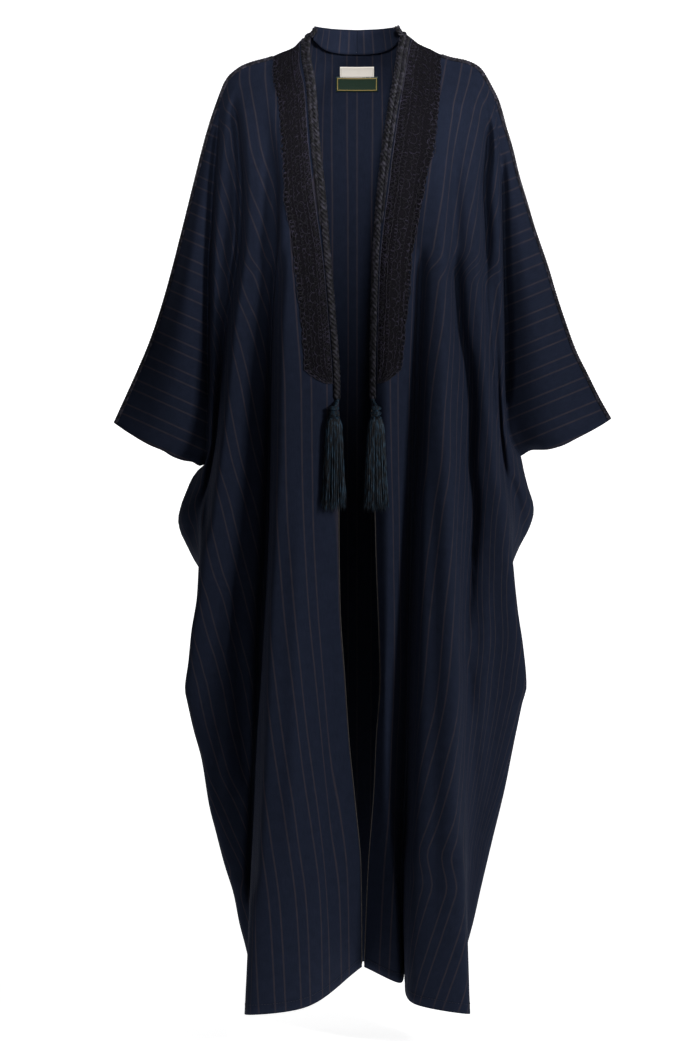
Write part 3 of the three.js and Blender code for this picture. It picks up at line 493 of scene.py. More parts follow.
def read_table(table, at, column):
    """The table's column at the given places of its first column, on a smooth curve."""
    rows = np.array(sorted(table), float)
    knots, values = rows[:, 0], rows[:, column]
    at = np.clip(np.asarray(at, float), knots[0], knots[-1])
    low = np.clip(np.searchsorted(knots, at, side="right") - 1, 0, len(knots) - 2)
    width = knots[low + 1] - knots[low]
    t = (at - knots[low]) / width
    slope = slopes(knots, values)
    start = values[low] * (2 * t**3 - 3 * t**2 + 1) + slope[low] * width * (t**3 - 2 * t**2 + t)
    return start + values[low + 1] * (3 * t**2 - 2 * t**3) + slope[low + 1] * width * (t**3 - t**2)


def mix(start, end, share):
    """What lies the given share of the way from the start to the end."""
    return start + (end - start) * share


def place(drawn):
    """Drawn points, in squares and millimetres of depth, in metres."""
    drawn = np.asarray(drawn, float)
    scale = SQUARE * (1 + drawn[..., 2] / SIGHT_DISTANCE)
    x = (drawn[..., 0] - SIGHT_ACROSS) * scale - (CENTRE_ACROSS - SIGHT_ACROSS) * SQUARE
    z = (SIGHT_DOWN - drawn[..., 1]) * scale - (SIGHT_DOWN - SHOULDER_DOWN) * SQUARE
    return np.stack([x, drawn[..., 2], z], axis=-1) * MM


def rise(row):
    """How far down to the cuff a row is, closer together near the shoulder."""
    return (np.asarray(row, float) / CUFF_ROWS) ** ROW_EASE


def down_at(side, table, rows):
    """How far down a line each row crosses it: evenly to the cuff's level, and on from there to the hem."""
    top, hem = table[0][0], table[-1][0]
    above = mix(top, side["cuff_level"], rise(np.minimum(rows, CUFF_ROWS)))
    below = mix(side["cuff_level"], hem, (rows - CUFF_ROWS) / HEM_ROWS)
    return np.where(rows <= CUFF_ROWS, above, below)


def side_points(side, rows, is_back):
    """The body's outermost line, which is the arm's crease above the cuff and the side seam below it."""
    down = down_at(side, side["side"], rows)
    depth = read_table(side["side"], down, 3 if is_back else 2)
    return np.stack([read_table(side["side"], down, 1), down, depth], axis=-1)


def line_points(side, rows, is_back):
    """Each fold line's drawn points, one for each row, with the side seam last."""
    found = []
    for line in (BACK_LINES if is_back else side["lines"]).values():
        down = down_at(side, line["table"], rows)
        across = read_table(line["table"], down, 1)
        if is_back:
            across = mix(CENTRE_ACROSS, read_table(side["side"], down, 1), across)
        found.append(np.stack([across, down, read_table(line["table"], down, 2)], axis=-1))
    found.append(side_points(side, rows, is_back))
    return np.array(found)


def between_lines(points, columns):
    """Smooth curves across the lines, as columns of points, with the last line itself at the end."""
    ends = np.concatenate([[2 * points[0] - points[1]], points, [2 * points[-1] - points[-2]]])
    reach = np.maximum(np.linalg.norm(np.diff(ends, axis=0), axis=-1, keepdims=True) ** 0.5, 1e-4)
    made = []
    for i, count in enumerate(columns):
        a, b, c, d = ends[i : i + 4]
        ab, bc, cd = reach[i : i + 3]
        leave = ((b - a) / ab - (c - a) / (ab + bc) + (c - b) / bc) * bc
        arrive = ((c - b) / bc - (d - b) / (bc + cd) + (d - c) / cd) * bc
        for k in range(count):
            t = k / count
            start = b * (2 * t**3 - 3 * t**2 + 1) + leave * (t**3 - 2 * t**2 + t)
            made.append(start + c * (3 * t**2 - 2 * t**3) + arrive * (t**3 - t**2))
    made.append(points[-1])
    return np.array(made)


def top_edge(side, across, is_back):
    """The drawn points of the shoulder seam and, on the back, of the neckline."""
    seam = np.stack([across, read_table(side["shoulder"], across, 1), 0 * across], axis=-1)
    if not is_back:
        return seam
    corner = abs(side["shoulder"][0][0] - CENTRE_ACROSS)
    away = np.abs(across - CENTRE_ACROSS)
    reach = away / corner * NECKLINE[-1][0]
    neck = np.stack([across, read_table(NECKLINE, reach, 1), read_table(NECKLINE, reach, 2)], axis=-1)
    return np.where((away < corner)[:, None], neck, seam)


def arm_seam(side, down):
    """The seam over the arm, which comes forward a little on its way to the cuff."""
    return np.stack(
        [read_table(side["overarm"], down, 1), down, -ARM_FORWARD * (down - side["overarm"][0][0])], axis=-1
    )


def cuff_points(side, shares):
    """The cuff's edge, from the arm's crease to its tip."""
    across = mix(side["cuff"][0][0], side["cuff"][-1][0], shares)
    tip = arm_seam(side, np.array([side["cuff"][-1][1]], float))[0]
    return np.stack([across, read_table(side["cuff"], across, 1), mix(0, tip[2], shares)], axis=-1)


def sleeve_points(side, rows, shares, is_back):
    """The sleeve half between the arm crease, the overarm seam and the cuff."""
    t = rise(rows)[:, None, None]
    w = shares[None, :, None]
    tip_down, top_down = side["cuff"][-1][1], side["overarm"][0][0]
    inner = side_points(side, rows, is_back)[:, None]
    outer = arm_seam(side, mix(side["sleeve_start"], tip_down, rise(rows)))[:, None]
    top = arm_seam(side, mix(top_down, side["sleeve_start"], shares))[None]
    low = cuff_points(side, shares)[None]
    start = arm_seam(side, np.array([top_down]))[None]
    crease = cuff_points(side, np.array([0.0]))[None]
    point = inner * (1 - w) + outer * w + top * (1 - t) + low * t
    point = point - start * (1 - w) * (1 - t) - top[:, -1:] * w * (1 - t)
    point = point - crease * (1 - w) * t - low[:, -1:] * w * t
    puff = side["back_puff"] if is_back else side["front_puff"]
    point[..., 2] += (puff * np.sin(math.pi * w) * np.minimum(1, 1.8 * t))[..., 0]
    return point


def draw_half(side, is_back):
    """Drawn points by row and column. Rows below the cuff have none in the sleeve's columns."""
    lines = BACK_LINES if is_back else side["lines"]
    columns = [line["columns"] * FINE for line in lines.values()]
    rows = np.arange((CUFF_ROWS + HEM_ROWS) * FINE + 1) / FINE
    body = between_lines(line_points(side, rows, is_back), columns).transpose(1, 0, 2)
    shift = top_edge(side, body[0, :, 0], is_back) - body[0]
    settle = np.clip(1 - rows / SETTLE_ROWS, 0, 1) ** 2
    body = body + shift[None] * settle[:, None, None]
    shares = np.arange(1, SLEEVE_COLUMNS * FINE + 1) / (SLEEVE_COLUMNS * FINE)
    sleeve = np.full((len(rows), len(shares), 3), np.nan)
    arm_rows = rows[rows <= CUFF_ROWS]
    sleeve[: len(arm_rows)] = sleeve_points(side, arm_rows, shares, is_back)
    return np.concatenate([body, sleeve], axis=1), body.shape[1] - 1


def eased(share):
    """A share from nought to one, with a soft start and end."""
    return share * share * (3 - 2 * share)


def soft_folds(drawn, folds):
    """Adds small ridges and troughs to the depth."""
    for across_1, down_1, across_2, down_2, height, width in folds:
        along = np.array([across_2 - across_1, down_2 - down_1], float)
        length = np.hypot(*along)
        away = drawn[..., :2] - [across_1, down_1]
        share = (away @ along) / length**2
        off = (away[..., 0] * along[1] - away[..., 1] * along[0]) / length
        ends = eased(np.clip(np.minimum(share, 1 - share) * 4, 0, 1))
        drawn[..., 2] -= height * ends * np.exp(-((off / width) ** 2))


def sharp_creases(drawn, creases):
    """Adds the creases, which bend as they run down."""
    for height, width, table in creases:
        down = drawn[..., 1]
        off = drawn[..., 0] - read_table(table, down, 1)
        ends = eased(np.clip(np.minimum(down - table[0][0], table[-1][0] - down) / CREASE_END, 0, 1))
        drawn[..., 2] -= height * ends * np.exp(-((off / width) ** 2))


def seam_fade(shape, body_columns):
    """Nought on every seam and one a few rows away from it, so that panels still meet."""
    rows, columns = np.indices(shape)
    arm = columns > body_columns
    top = rows / (3 * FINE)
    by_side = ~arm & (rows >= (CUFF_ROWS - 1) * FINE)
    side_seam = np.where(by_side, (body_columns - columns) / (2 * FINE), 1)
    outer = np.where(arm, (shape[1] - 1 - columns) / (2 * FINE), 1)
    return np.clip(np.minimum.reduce([top, side_seam, outer]), 0, 1)


def grid_normals(points, facing):
    """The direction out of a grid at each point. facing is 1 towards the back and -1 towards the front."""
    normals = np.cross(np.gradient(points, axis=1), np.gradient(points, axis=0))
    length = np.linalg.norm(normals, axis=-1, keepdims=True)
    normals = normals / np.where(length > 0, length, 1)
    return normals if normals[points.shape[0] // 2, 2, 1] * facing > 0 else -normals


def panel(side, is_back, folds, creases):
    """A half of the garment: placed points, outward directions and the cut's own coordinates."""
    drawn, body_columns = draw_half(side, is_back)
    before = drawn[..., 2].copy()
    soft_folds(drawn, folds)
    sharp_creases(drawn, creases)
    drawn[..., 2] = mix(before, drawn[..., 2], seam_fade(drawn.shape[:2], body_columns))
    points = place(drawn)
    facing = 1 if is_back else -1
    cuff = CUFF_ROWS * FINE
    for seam in (points[0], points[: cuff + 1, -1], points[cuff:, body_columns]):
        seam[:, 1] += facing * HALF_SEAM_GAP * MM
    outward = grid_normals(points, facing)
    outward[: cuff + 1, body_columns:] = grid_normals(points[: cuff + 1], facing)[:, body_columns:]
    outward[cuff - 1 :, : body_columns + 1] = grid_normals(points[:, : body_columns + 1], facing)[cuff - 1 :]
    return {
        "side": side,
        "sign": -1 if side is RIGHT_SIDE else 1,
        "drawn": drawn,
        "points": points,
        "outward": outward,
        "body_columns": body_columns,
        "cut": cut_coordinates(side, drawn, points, body_columns, is_back),
    }


def cut_coordinates(side, drawn, points, body_columns, is_back):
    """Each point's place on the flat cut, for the body and for the sleeve, in metres."""
    steps = np.nan_to_num(np.linalg.norm(np.diff(points, axis=1), axis=-1))
    width = np.concatenate([np.zeros((len(points), 1)), np.cumsum(steps, axis=1)], axis=1)
    drops = np.nan_to_num(np.linalg.norm(np.diff(points, axis=0), axis=-1))
    length = np.concatenate([np.zeros((1, points.shape[1])), np.cumsum(drops, axis=0)])
    inner, tip = np.array(side["cuff"][0], float), np.array(side["cuff"][-1], float)
    along = (inner - tip) / np.linalg.norm(inner - tip)
    up_arm = np.array([along[1], -along[0]])
    if up_arm[1] > 0:
        up_arm = -up_arm
    from_tip = drawn[..., :2] - tip
    arm = SLEEVE_SHOULDER_CUT + (side["arm_reach"] - from_tip @ up_arm * SQUARE) * MM
    sleeve = np.stack([arm, from_tip @ along * SQUARE * MM], axis=-1)
    lean = grain_lean(side, drawn, body_columns, is_back)
    return np.stack([width + lean, length], axis=-1), sleeve


def grain_lean(side, drawn, body_columns, is_back):
    """How far the stripes have moved towards the front edge, as the sides hang from the arms."""
    is_right = side is RIGHT_SIDE
    table = BACK_LEAN if is_back else RIGHT_LEAN if is_right else LEFT_LEAN
    share = np.arange(drawn.shape[1]) / body_columns
    fall = np.clip((drawn[..., 1] - side["shoulder"][-1][1]) / SQUARES_TO_HEM, 0, 1)
    lean = read_table(table, share, 1)[None] * fall
    if is_back:
        return lean
    chest = eased(np.clip((drawn[..., 1] - CHEST_TOP) / CHEST_DROP, 0, 1))
    ease = RIGHT_EASE if is_right else LEFT_EASE
    return lean - ease * read_table(CHEST_EASE, share, 1)[None] * chest


def declared(piece, node=None):
    """Hangs a piece on the root body and, if a part is given, hides the part of the solid that it stands for."""
    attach(piece, "root")
    if node:
        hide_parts(node)
    return piece


def new_object(name, bm, material):
    """A mesh made into an object of one material, with soft shading."""
    for face in bm.faces:
        face.smooth = True
    mesh = bpy.data.meshes.new(name)
    bm.to_mesh(mesh)
    bm.free()
    mesh.materials.append(material)
    piece = bpy.data.objects.new(name, mesh)
    bpy.context.scene.collection.objects.link(piece)
    return piece


def grid_object(name, points, cut, facing, material, thickness, sleeve_cut=None, in_sleeve=None):
    """A cloth shell on a grid of points, with its place on the cut as UVs. Missing points are left out."""
    rows, columns = points.shape[:2]
    bm = bmesh.new()
    bmesh.ops.create_grid(bm, x_segments=columns - 1, y_segments=rows - 1, size=1)
    place_in_grid = bm.verts.layers.int.new("grid_place")
    missing = []
    for i, (vertex, point) in enumerate(zip(bm.verts, points.reshape(-1, 3))):
        vertex[place_in_grid] = i
        if np.isnan(point[0]):
            missing.append(vertex)
        else:
            vertex.co = point
    bmesh.ops.delete(bm, geom=missing, context="VERTS")
    bm.normal_update()
    if sum(face.normal.y for face in bm.faces) * facing < 0:
        bmesh.ops.reverse_faces(bm, faces=bm.faces)
    piece = new_object(name, bm, material)
    write_cut(piece.data, columns, cut, sleeve_cut, in_sleeve)
    wall = piece.modifiers.new("wall", "SOLIDIFY")
    wall.thickness = thickness * MM
    wall.offset = -1
    return piece


def write_cut(mesh, columns, cut, sleeve_cut, in_sleeve):
    """Writes each corner's place on the cut. A face in the sleeve takes the sleeve's."""
    places = np.zeros(len(mesh.vertices), int)
    mesh.attributes["grid_place"].data.foreach_get("value", places)
    corners = np.zeros(len(mesh.loops), int)
    mesh.loops.foreach_get("vertex_index", corners)
    place_of = places[corners]
    uv = cut.reshape(-1, 2)[place_of]
    if in_sleeve:
        column = (place_of % columns).reshape(-1, 4)
        chosen = np.repeat(in_sleeve(column.min(axis=1), column.max(axis=1)), 4)
        uv = np.where(chosen[:, None], sleeve_cut.reshape(-1, 2)[place_of], uv)
    mesh.uv_layers.new(name="cut").data.foreach_set("uv", np.nan_to_num(uv).ravel())
    mesh.attributes.remove(mesh.attributes["grid_place"])


def build_panels(cloth):
    """The two fronts and the back as cloth shells, with the grids that the trimmings are laid on."""
    made = {}
    for name, side, folds, creases in (
        ("right", RIGHT_SIDE, RIGHT_FOLDS, RIGHT_CREASES),
        ("left", LEFT_SIDE, LEFT_FOLDS, LEFT_CREASES),
    ):
        front = panel(side, False, folds, creases)
        last = front["body_columns"]
        piece = grid_object(
            "front_" + name + "_cloth", front["points"], front["cut"][0], -1, cloth, CLOTH_THICKNESS,
            front["cut"][1], lambda low, high, last=last: low >= last,
        )
        declared(piece, "front_" + name)
        made[name] = front
        made[name + "_back"] = panel(side, True, BACK_FOLDS, BACK_CREASES)
        made[name + "_piece"] = piece
    one, other = made["right_back"], made["left_back"]
    points = np.concatenate([one["points"][:, ::-1], other["points"][:, 1:]], axis=1)
    middle, last = one["points"].shape[1] - 1, one["body_columns"]
    cuts = [
        np.concatenate([one["cut"][which][:, ::-1] * [-1, 1], other["cut"][which][:, 1:]], axis=1)
        for which in (0, 1)
    ]
    piece = grid_object(
        "back_cloth", points, cuts[0], 1, cloth, CLOTH_THICKNESS, cuts[1],
        lambda low, high: (high <= middle - last) | (low >= middle + last),
    )
    declared(piece, "back")
    made["back_piece"] = piece
    return made


def linear(hex_colour):
    """An sRGB hex value as linear red, green, blue and alpha."""
    values = [int(hex_colour[i : i + 2], 16) / 255 for i in (1, 3, 5)]
    return [v / 12.92 if v <= 0.04045 else ((v + 0.055) / 1.055) ** 2.4 for v in values] + [1]


def add_node(tree, kind, settings=None, **sockets):
    """A node with its settings. A socket is given a value, or another node's output to link."""
    node = tree.nodes.new(kind)
    for name, value in (settings or {}).items():
        setattr(node, name, value)
    for name, value in sockets.items():
        key = int(name[1:]) if name[0] == "i" and name[1:].isdigit() else name.replace("_", " ")
        socket = node.inputs[key]
        if isinstance(value, bpy.types.NodeSocket):
            tree.links.new(value, socket)
        else:
            socket.default_value = value
    return node


def new_material(name):
    """An empty material with its node tree."""
    material = bpy.data.materials.new(name)
    material.use_nodes = True
    material.node_tree.nodes.clear()
    return material, material.node_tree


def show(tree, **sockets):
    """The surface that a material shows."""
    shader = add_node(tree, "ShaderNodeBsdfPrincipled", **sockets)
    add_node(tree, "ShaderNodeOutputMaterial", Surface=shader.outputs[0])


def twill_material():
    """Navy worsted twill, woven with brown pinstripes: a soft matt cloth with a slight bloom at its edges."""
    material, tree = new_material("pinstriped_twill")
    cut = add_node(tree, "ShaderNodeUVMap", {"uv_map": "cut"}).outputs[0]
    across = add_node(tree, "ShaderNodeSeparateXYZ", i0=cut).outputs[0]
    stripes = 0.0
    for offset in (0.0, STRIPE_STEP):
        moved = add_node(tree, MATHS, {"operation": "ADD"}, i0=across, i1=offset).outputs[0]
        away = add_node(tree, MATHS, {"operation": "PINGPONG"}, i0=moved, i1=STRIPE_REPEAT / 2).outputs[0]
        stripe = add_node(
            tree, "ShaderNodeMapRange", {"interpolation_type": "SMOOTHSTEP"}, Value=away,
            From_Min=STRIPE_WIDTH * 0.35, From_Max=STRIPE_WIDTH * 0.85, To_Min=1.0, To_Max=0.0,
        ).outputs[0]
        stripes = add_node(tree, MATHS, {"operation": "MAXIMUM"}, i0=stripes, i1=stripe).outputs[0]
    threads = add_node(tree, "ShaderNodeMapping", i0=cut, Scale=(900, 60, 1)).outputs[0]
    broken = add_node(tree, "ShaderNodeTexNoise", Vector=threads, Scale=1.0, Detail=2.0).outputs[0]
    cloudy = add_node(tree, "ShaderNodeTexNoise", Vector=cut, Scale=60.0, Detail=8.0, Roughness=0.75).outputs[0]
    ground = add_node(
        tree, "ShaderNodeMix", {"data_type": "RGBA"}, i0=cloudy, i6=linear("#121926"), i7=linear("#1f2435")
    ).outputs[2]
    slub = add_node(
        tree, "ShaderNodeMix", {"data_type": "RGBA", "blend_type": "OVERLAY"}, i0=0.25, i6=ground, i7=broken
    ).outputs[2]
    strength = add_node(
        tree, MATHS, {"operation": "MULTIPLY_ADD"}, i0=broken, i1=0.75, i2=0.14
    ).outputs[0]
    shown = add_node(tree, MATHS, {"operation": "MULTIPLY"}, i0=stripes, i1=strength).outputs[0]
    colour = add_node(tree, "ShaderNodeMix", {"data_type": "RGBA"}, i0=shown, i6=slub, i7=linear("#393338")).outputs[2]
    ribs = add_node(tree, "ShaderNodeMapping", i0=cut, Rotation=(0, 0, TWILL_SLANT)).outputs[0]
    twill = add_node(
        tree, "ShaderNodeTexWave", {"wave_type": "BANDS"}, Vector=ribs, Scale=TWILL_SCALE, Distortion=0.6
    ).outputs[1]
    bump = add_node(tree, "ShaderNodeBump", Strength=0.25, Distance=0.0006, Height=twill).outputs[0]
    show(
        tree, Base_Color=colour, Normal=bump, Roughness=0.9, Specular_IOR_Level=0.08, Sheen_Weight=0.03,
        Sheen_Roughness=0.5, Sheen_Tint=linear("#7f8fc4"),
    )
    return material


def yarn_material(name, dark, light, pitch, roughness=0.6, shine=0.2, streaks=(180, 180, 180)):
    """Twisted yarn: fine slanting plies along each thread, with painted shade in the grooves between plies, painted
    highlights on their crests and a soft lustre where they catch light.
    """
    material, tree = new_material(name)
    uv = add_node(tree, "ShaderNodeUVMap", {"uv_map": "UVMap"}).outputs[0]
    split = add_node(tree, "ShaderNodeSeparateXYZ", i0=uv).outputs
    along = add_node(tree, MATHS, {"operation": "DIVIDE"}, i0=split[0], i1=pitch).outputs[0]
    slant = add_node(tree, MATHS, {"operation": "MULTIPLY_ADD"}, i0=split[1], i1=2.0, i2=along).outputs[0]
    ply = add_node(tree, MATHS, {"operation": "PINGPONG"}, i0=slant, i1=0.5).outputs[0]
    here = add_node(tree, "ShaderNodeTexCoord").outputs["Object"]
    stretched = add_node(tree, "ShaderNodeMapping", i0=here, Scale=streaks).outputs[0]
    cloudy = add_node(tree, "ShaderNodeTexNoise", Vector=stretched, Scale=1.0, Detail=3.0).outputs[0]
    # Painted light and shade: the ply pattern turns the grooves to the dark colour and the crests to the light one,
    # and the noise adds uneven tone.
    painted_ply_light_and_tone = add_node(tree, MATHS, {"operation": "MULTIPLY_ADD"}, i0=ply, i1=0.5, i2=cloudy).outputs[0]
    shade = add_node(tree, "ShaderNodeMapRange", Value=painted_ply_light_and_tone, From_Min=0.45, From_Max=0.95).outputs[0]
    colour = add_node(
        tree, "ShaderNodeMix", {"data_type": "RGBA"}, i0=shade, i6=linear(dark), i7=linear(light)
    ).outputs[2]
    bump = add_node(tree, "ShaderNodeBump", Strength=0.5, Distance=0.0004, Height=ply).outputs[0]
    show(
        tree, Base_Color=colour, Normal=bump, Roughness=roughness, Specular_IOR_Level=shine, Sheen_Weight=0.02
    )
    return material


def ground_material():
    """The close stitching under the couched threads: matt brown-black, in fine uneven rows."""
    material, tree = new_material("embroidery_ground")
    cut = add_node(tree, "ShaderNodeUVMap", {"uv_map": "cut"}).outputs[0]
    stitches = add_node(
        tree, "ShaderNodeTexWave", {"wave_type": "BANDS", "bands_direction": "Y"}, Vector=cut, Scale=300.0,
        Distortion=6.0, Detail=2.0, Detail_Scale=40.0,
    ).outputs[1]
    colour = add_node(
        tree, "ShaderNodeMix", {"data_type": "RGBA"}, i0=stitches, i6=linear("#0a090d"), i7=linear("#19171d")
    ).outputs[2]
    bump = add_node(tree, "ShaderNodeBump", Strength=0.6, Distance=0.0006, Height=stitches).outputs[0]
    show(tree, Base_Color=colour, Normal=bump, Roughness=0.9, Specular_IOR_Level=0.08)
    return material


def label_material(name, ground_hex, rib_hex, border_hex, size):
    """Smooth woven ribbon with fine ribs across it, a thin woven line round it and nothing written on it."""
    material, tree = new_material(name)
    cut = add_node(tree, "ShaderNodeUVMap", {"uv_map": "cut"}).outputs[0]
    parts = add_node(tree, "ShaderNodeSeparateXYZ", i0=cut).outputs
    inset = [
        add_node(tree, MATHS, {"operation": "PINGPONG"}, i0=parts[axis], i1=size[axis] / 2).outputs[0]
        for axis in (0, 1)
    ]
    nearest = add_node(tree, MATHS, {"operation": "MINIMUM"}, i0=inset[0], i1=inset[1]).outputs[0]
    border = add_node(
        tree, MATHS, {"operation": "COMPARE"}, i0=nearest, i1=BORDER_INSET, i2=BORDER_HALF
    ).outputs[0]
    ribs = add_node(tree, "ShaderNodeTexWave", {"wave_type": "BANDS"}, Vector=cut, Scale=350.0, Distortion=0.3).outputs[1]
    fine = add_node(tree, MATHS, {"operation": "MULTIPLY"}, i0=ribs, i1=0.5).outputs[0]
    woven = add_node(
        tree, "ShaderNodeMix", {"data_type": "RGBA"}, i0=fine, i6=linear(ground_hex), i7=linear(rib_hex)
    ).outputs[2]
    colour = add_node(tree, "ShaderNodeMix", {"data_type": "RGBA"}, i0=border, i6=woven, i7=linear(border_hex)).outputs[2]
    bump = add_node(tree, "ShaderNodeBump", Strength=0.3, Distance=0.0003, Height=ribs).outputs[0]
    show(tree, Base_Color=colour, Normal=bump, Roughness=0.5)
    return material


def floor_material():
    """A pale matt studio floor that glows behind the garment, so that the backdrop is white."""
    material, tree = new_material("pale_floor")
    here = add_node(tree, "ShaderNodeTexCoord").outputs["Object"]
    parts = add_node(tree, "ShaderNodeSeparateXYZ", i0=here).outputs
    behind = add_node(
        tree, "ShaderNodeMapRange", Value=parts[1], From_Min=GLOW_STARTS[0], From_Max=GLOW_STARTS[1],
        To_Min=0.0,
        To_Max=BACKDROP_GLOW,
    ).outputs[0]
    away = add_node(tree, MATHS, {"operation": "ABSOLUTE"}, i0=parts[0]).outputs[0]
    central = add_node(
        tree, "ShaderNodeMapRange", Value=away, From_Min=GLOW_FADES[0], From_Max=GLOW_FADES[1], To_Min=1.0,
        To_Max=0.1,
    ).outputs[0]
    glow = add_node(tree, MATHS, {"operation": "MULTIPLY"}, i0=behind, i1=central).outputs[0]
    show(
        tree, Base_Color=linear("#f4f4f4"), Roughness=0.9, Specular_IOR_Level=0.0, Emission_Color=(1, 1, 1, 1),
        Emission_Strength=glow,
    )
    return material


def floor_and_backdrop():
    """A pale floor that curves up into a backdrop, under a soft white sky."""
    bm = bmesh.new()
    made = bmesh.ops.create_grid(bm, x_segments=2, y_segments=BACKDROP_STEPS, size=1)["verts"]
    lengths = np.linspace(*FLOOR_REACH, BACKDROP_STEPS + 1)
    for i, vertex in enumerate(made):
        length = lengths[i // 3]
        turn = np.clip((length - BACKDROP_BEND) / BACKDROP_RADIUS, 0, math.pi / 2)
        past = max(0, length - BACKDROP_BEND - BACKDROP_RADIUS * math.pi / 2)
        forward = min(length, BACKDROP_BEND) + BACKDROP_RADIUS * math.sin(turn)
        height = FLOOR_HEIGHT + BACKDROP_RADIUS * (1 - math.cos(turn)) + past
        vertex.co = ((i % 3 - 1) * FLOOR_HALF_WIDTH, forward, height)
    bmesh.ops.recalc_face_normals(bm, faces=bm.faces)
    new_object("floor", bm, floor_material())
    world = bpy.data.worlds.new("studio")
    bpy.context.scene.world = world
    world.use_nodes = True
    background = world.node_tree.nodes["Background"]
    background.inputs[0].default_value = (1, 1, 1, 1)
    background.inputs[1].default_value = SKY_STRENGTH


def lights():
    """A softbox from the garment's left side and a narrow light on the neck."""
    for name, kind, spot, aim, size, power in LIGHTS:
        lamp = bpy.data.lights.new(name, kind)
        lamp.energy = power
        if kind == "SPOT":
            lamp.spot_size = SPOT_CONE
            lamp.spot_blend = 1
            lamp.shadow_soft_size = size
        else:
            lamp.size = size
        light = bpy.data.objects.new(name, lamp)
        light.location = spot
        light.rotation_euler = (Vector(aim) - Vector(spot)).to_track_quat("-Z", "Y").to_euler()
        bpy.context.scene.collection.objects.link(light)


def front_camera():
    """The camera, square on to the front, with the picture as high as the photo."""
    lens = bpy.data.cameras.new("front_camera")
    lens.sensor_fit = "VERTICAL"
    lens.sensor_height = SENSOR_HEIGHT
    lens.lens = SENSOR_HEIGHT * SIGHT_DISTANCE / (PHOTO_HEIGHT * SQUARE)
    camera = bpy.data.objects.new("front_camera", lens)
    camera.location = place(np.array([SIGHT_ACROSS, SIGHT_DOWN, 0.0])) + [0, -SIGHT_DISTANCE * MM, 0]
    camera.rotation_euler = (math.radians(90), 0, 0)
    bpy.context.scene.collection.objects.link(camera)
    bpy.context.scene.camera = camera
    bpy.context.scene.view_settings.view_transform = "Standard"


def rows_and_columns(half, down, across):
    """Where drawn places fall on a half's grid, as rows and columns with shares."""
    drawn, sign = half["drawn"][:, : half["body_columns"] + 1], half["sign"]
    numbers = np.arange(drawn.shape[1])
    rows = np.interp(down, drawn[:, 0, 1], np.arange(len(drawn)))
    columns = np.zeros(len(rows))
    for _ in range(4):
        low = np.clip(rows.astype(int), 0, len(drawn) - 2)
        share = (rows - low)[:, None]
        line = mix(drawn[low, :, :2], drawn[low + 1, :, :2], share[..., None])
        for i in range(len(rows)):
            columns[i] = np.interp(sign * across[i], sign * line[i, :, 0], numbers)
            here = np.interp(columns[i], numbers, line[i, :, 1])
            rows[i] += (down[i] - here) / (drawn[low[i] + 1, 0, 1] - drawn[low[i], 0, 1])
        rows = np.clip(rows, 0, len(drawn) - 1.001)
    return rows, columns


def between_cells(grid, rows, columns):
    """What a grid holds at rows and columns with shares."""
    rows = np.clip(rows, 0, grid.shape[0] - 1.001)
    columns = np.clip(columns, 0, grid.shape[1] - 1.001)
    r, c = rows.astype(int), columns.astype(int)
    s, t = (rows - r)[:, None], (columns - c)[:, None]
    near = mix(grid[r, c], grid[r, c + 1], t)
    return mix(near, mix(grid[r + 1, c], grid[r + 1, c + 1], t), s)


def over_cloth(half, rows, columns, lift):
    """Points over the cloth's outside at the given height in millimetres, and the directions out there."""
    outward = between_cells(half["outward"], rows, columns)
    lift = np.broadcast_to(lift, len(rows))[:, None] * MM
    return between_cells(half["points"], rows, columns) + outward * lift, outward


def distances(path):
    """How far along a path each of its points is, in metres."""
    return np.concatenate([[0], np.cumsum(np.linalg.norm(np.diff(path, axis=0), axis=1))])


def evenly(step, path, *others):
    """A path and what goes with it in even steps, and how far along each step is."""
    gone = distances(path)
    places = np.linspace(0, gone[-1], int(gone[-1] / step))
    made = [
        np.stack([np.interp(places, gone, values[:, i]) for i in range(3)], axis=1)
        for values in (path, *others)
    ]
    return *made, places


def frames_along(path, outward):
    """At each point of a path, one direction across it and one out from what it lies on."""
    along = np.gradient(path, axis=0)
    along /= np.maximum(np.linalg.norm(along, axis=1, keepdims=True), 1e-9)
    across = np.cross(along, outward)
    across /= np.maximum(np.linalg.norm(across, axis=1, keepdims=True), 1e-9)
    return across, np.cross(across, along)


def add_grid(bm, points):
    """A strip of faces through rows of points, and its corners in the same order."""
    rows, columns = points.shape[:2]
    made = bmesh.ops.create_grid(bm, x_segments=columns - 1, y_segments=rows - 1, size=1)["verts"]
    for vertex, point in zip(made, points.reshape(-1, 3)):
        vertex.co = point
    return made


def add_tube(bm, path, outward, radius, sides, flat=1.0):
    """A round thread along a path, closed at both ends. flat is its height against its width."""
    across, up = frames_along(path, outward)
    radius = np.broadcast_to(radius, len(path)).astype(float).copy()
    radius[0] = radius[-1] = 0
    turns = np.arange(sides + 1) * 2 * math.pi / sides
    ring = across[:, None] * np.cos(turns)[None, :, None] + up[:, None] * np.sin(turns)[None, :, None] * flat
    made = add_grid(bm, path[:, None] + ring * radius[:, None, None])
    gone = distances(path)
    uv = bm.loops.layers.uv.verify()
    numbers = {vertex: i for i, vertex in enumerate(made)}
    for face in {face for vertex in made for face in vertex.link_faces}:
        for loop in face.loops:
            i = numbers[loop.vert]
            loop[uv].uv = (gone[i // (sides + 1)], (i % (sides + 1)) / sides)


def add_cord(bm, path, outward, gone, width, height, pitch, plies, phase=0.0):
    """A twisted cord of several plies, flattened on what it lies on. Width, height and pitch in metres."""
    across, up = frames_along(path, outward)
    width = np.broadcast_to(width, len(path))
    for ply in range(plies):
        turn = 2 * math.pi * (gone / pitch + ply / plies + phase)
        swing = across * (np.cos(turn) * width)[:, None] + up * (np.sin(turn) * height)[:, None]
        add_tube(bm, path + swing * PLY_PLACE, outward, width * PLY_RADIUS, 8, height / width.max())


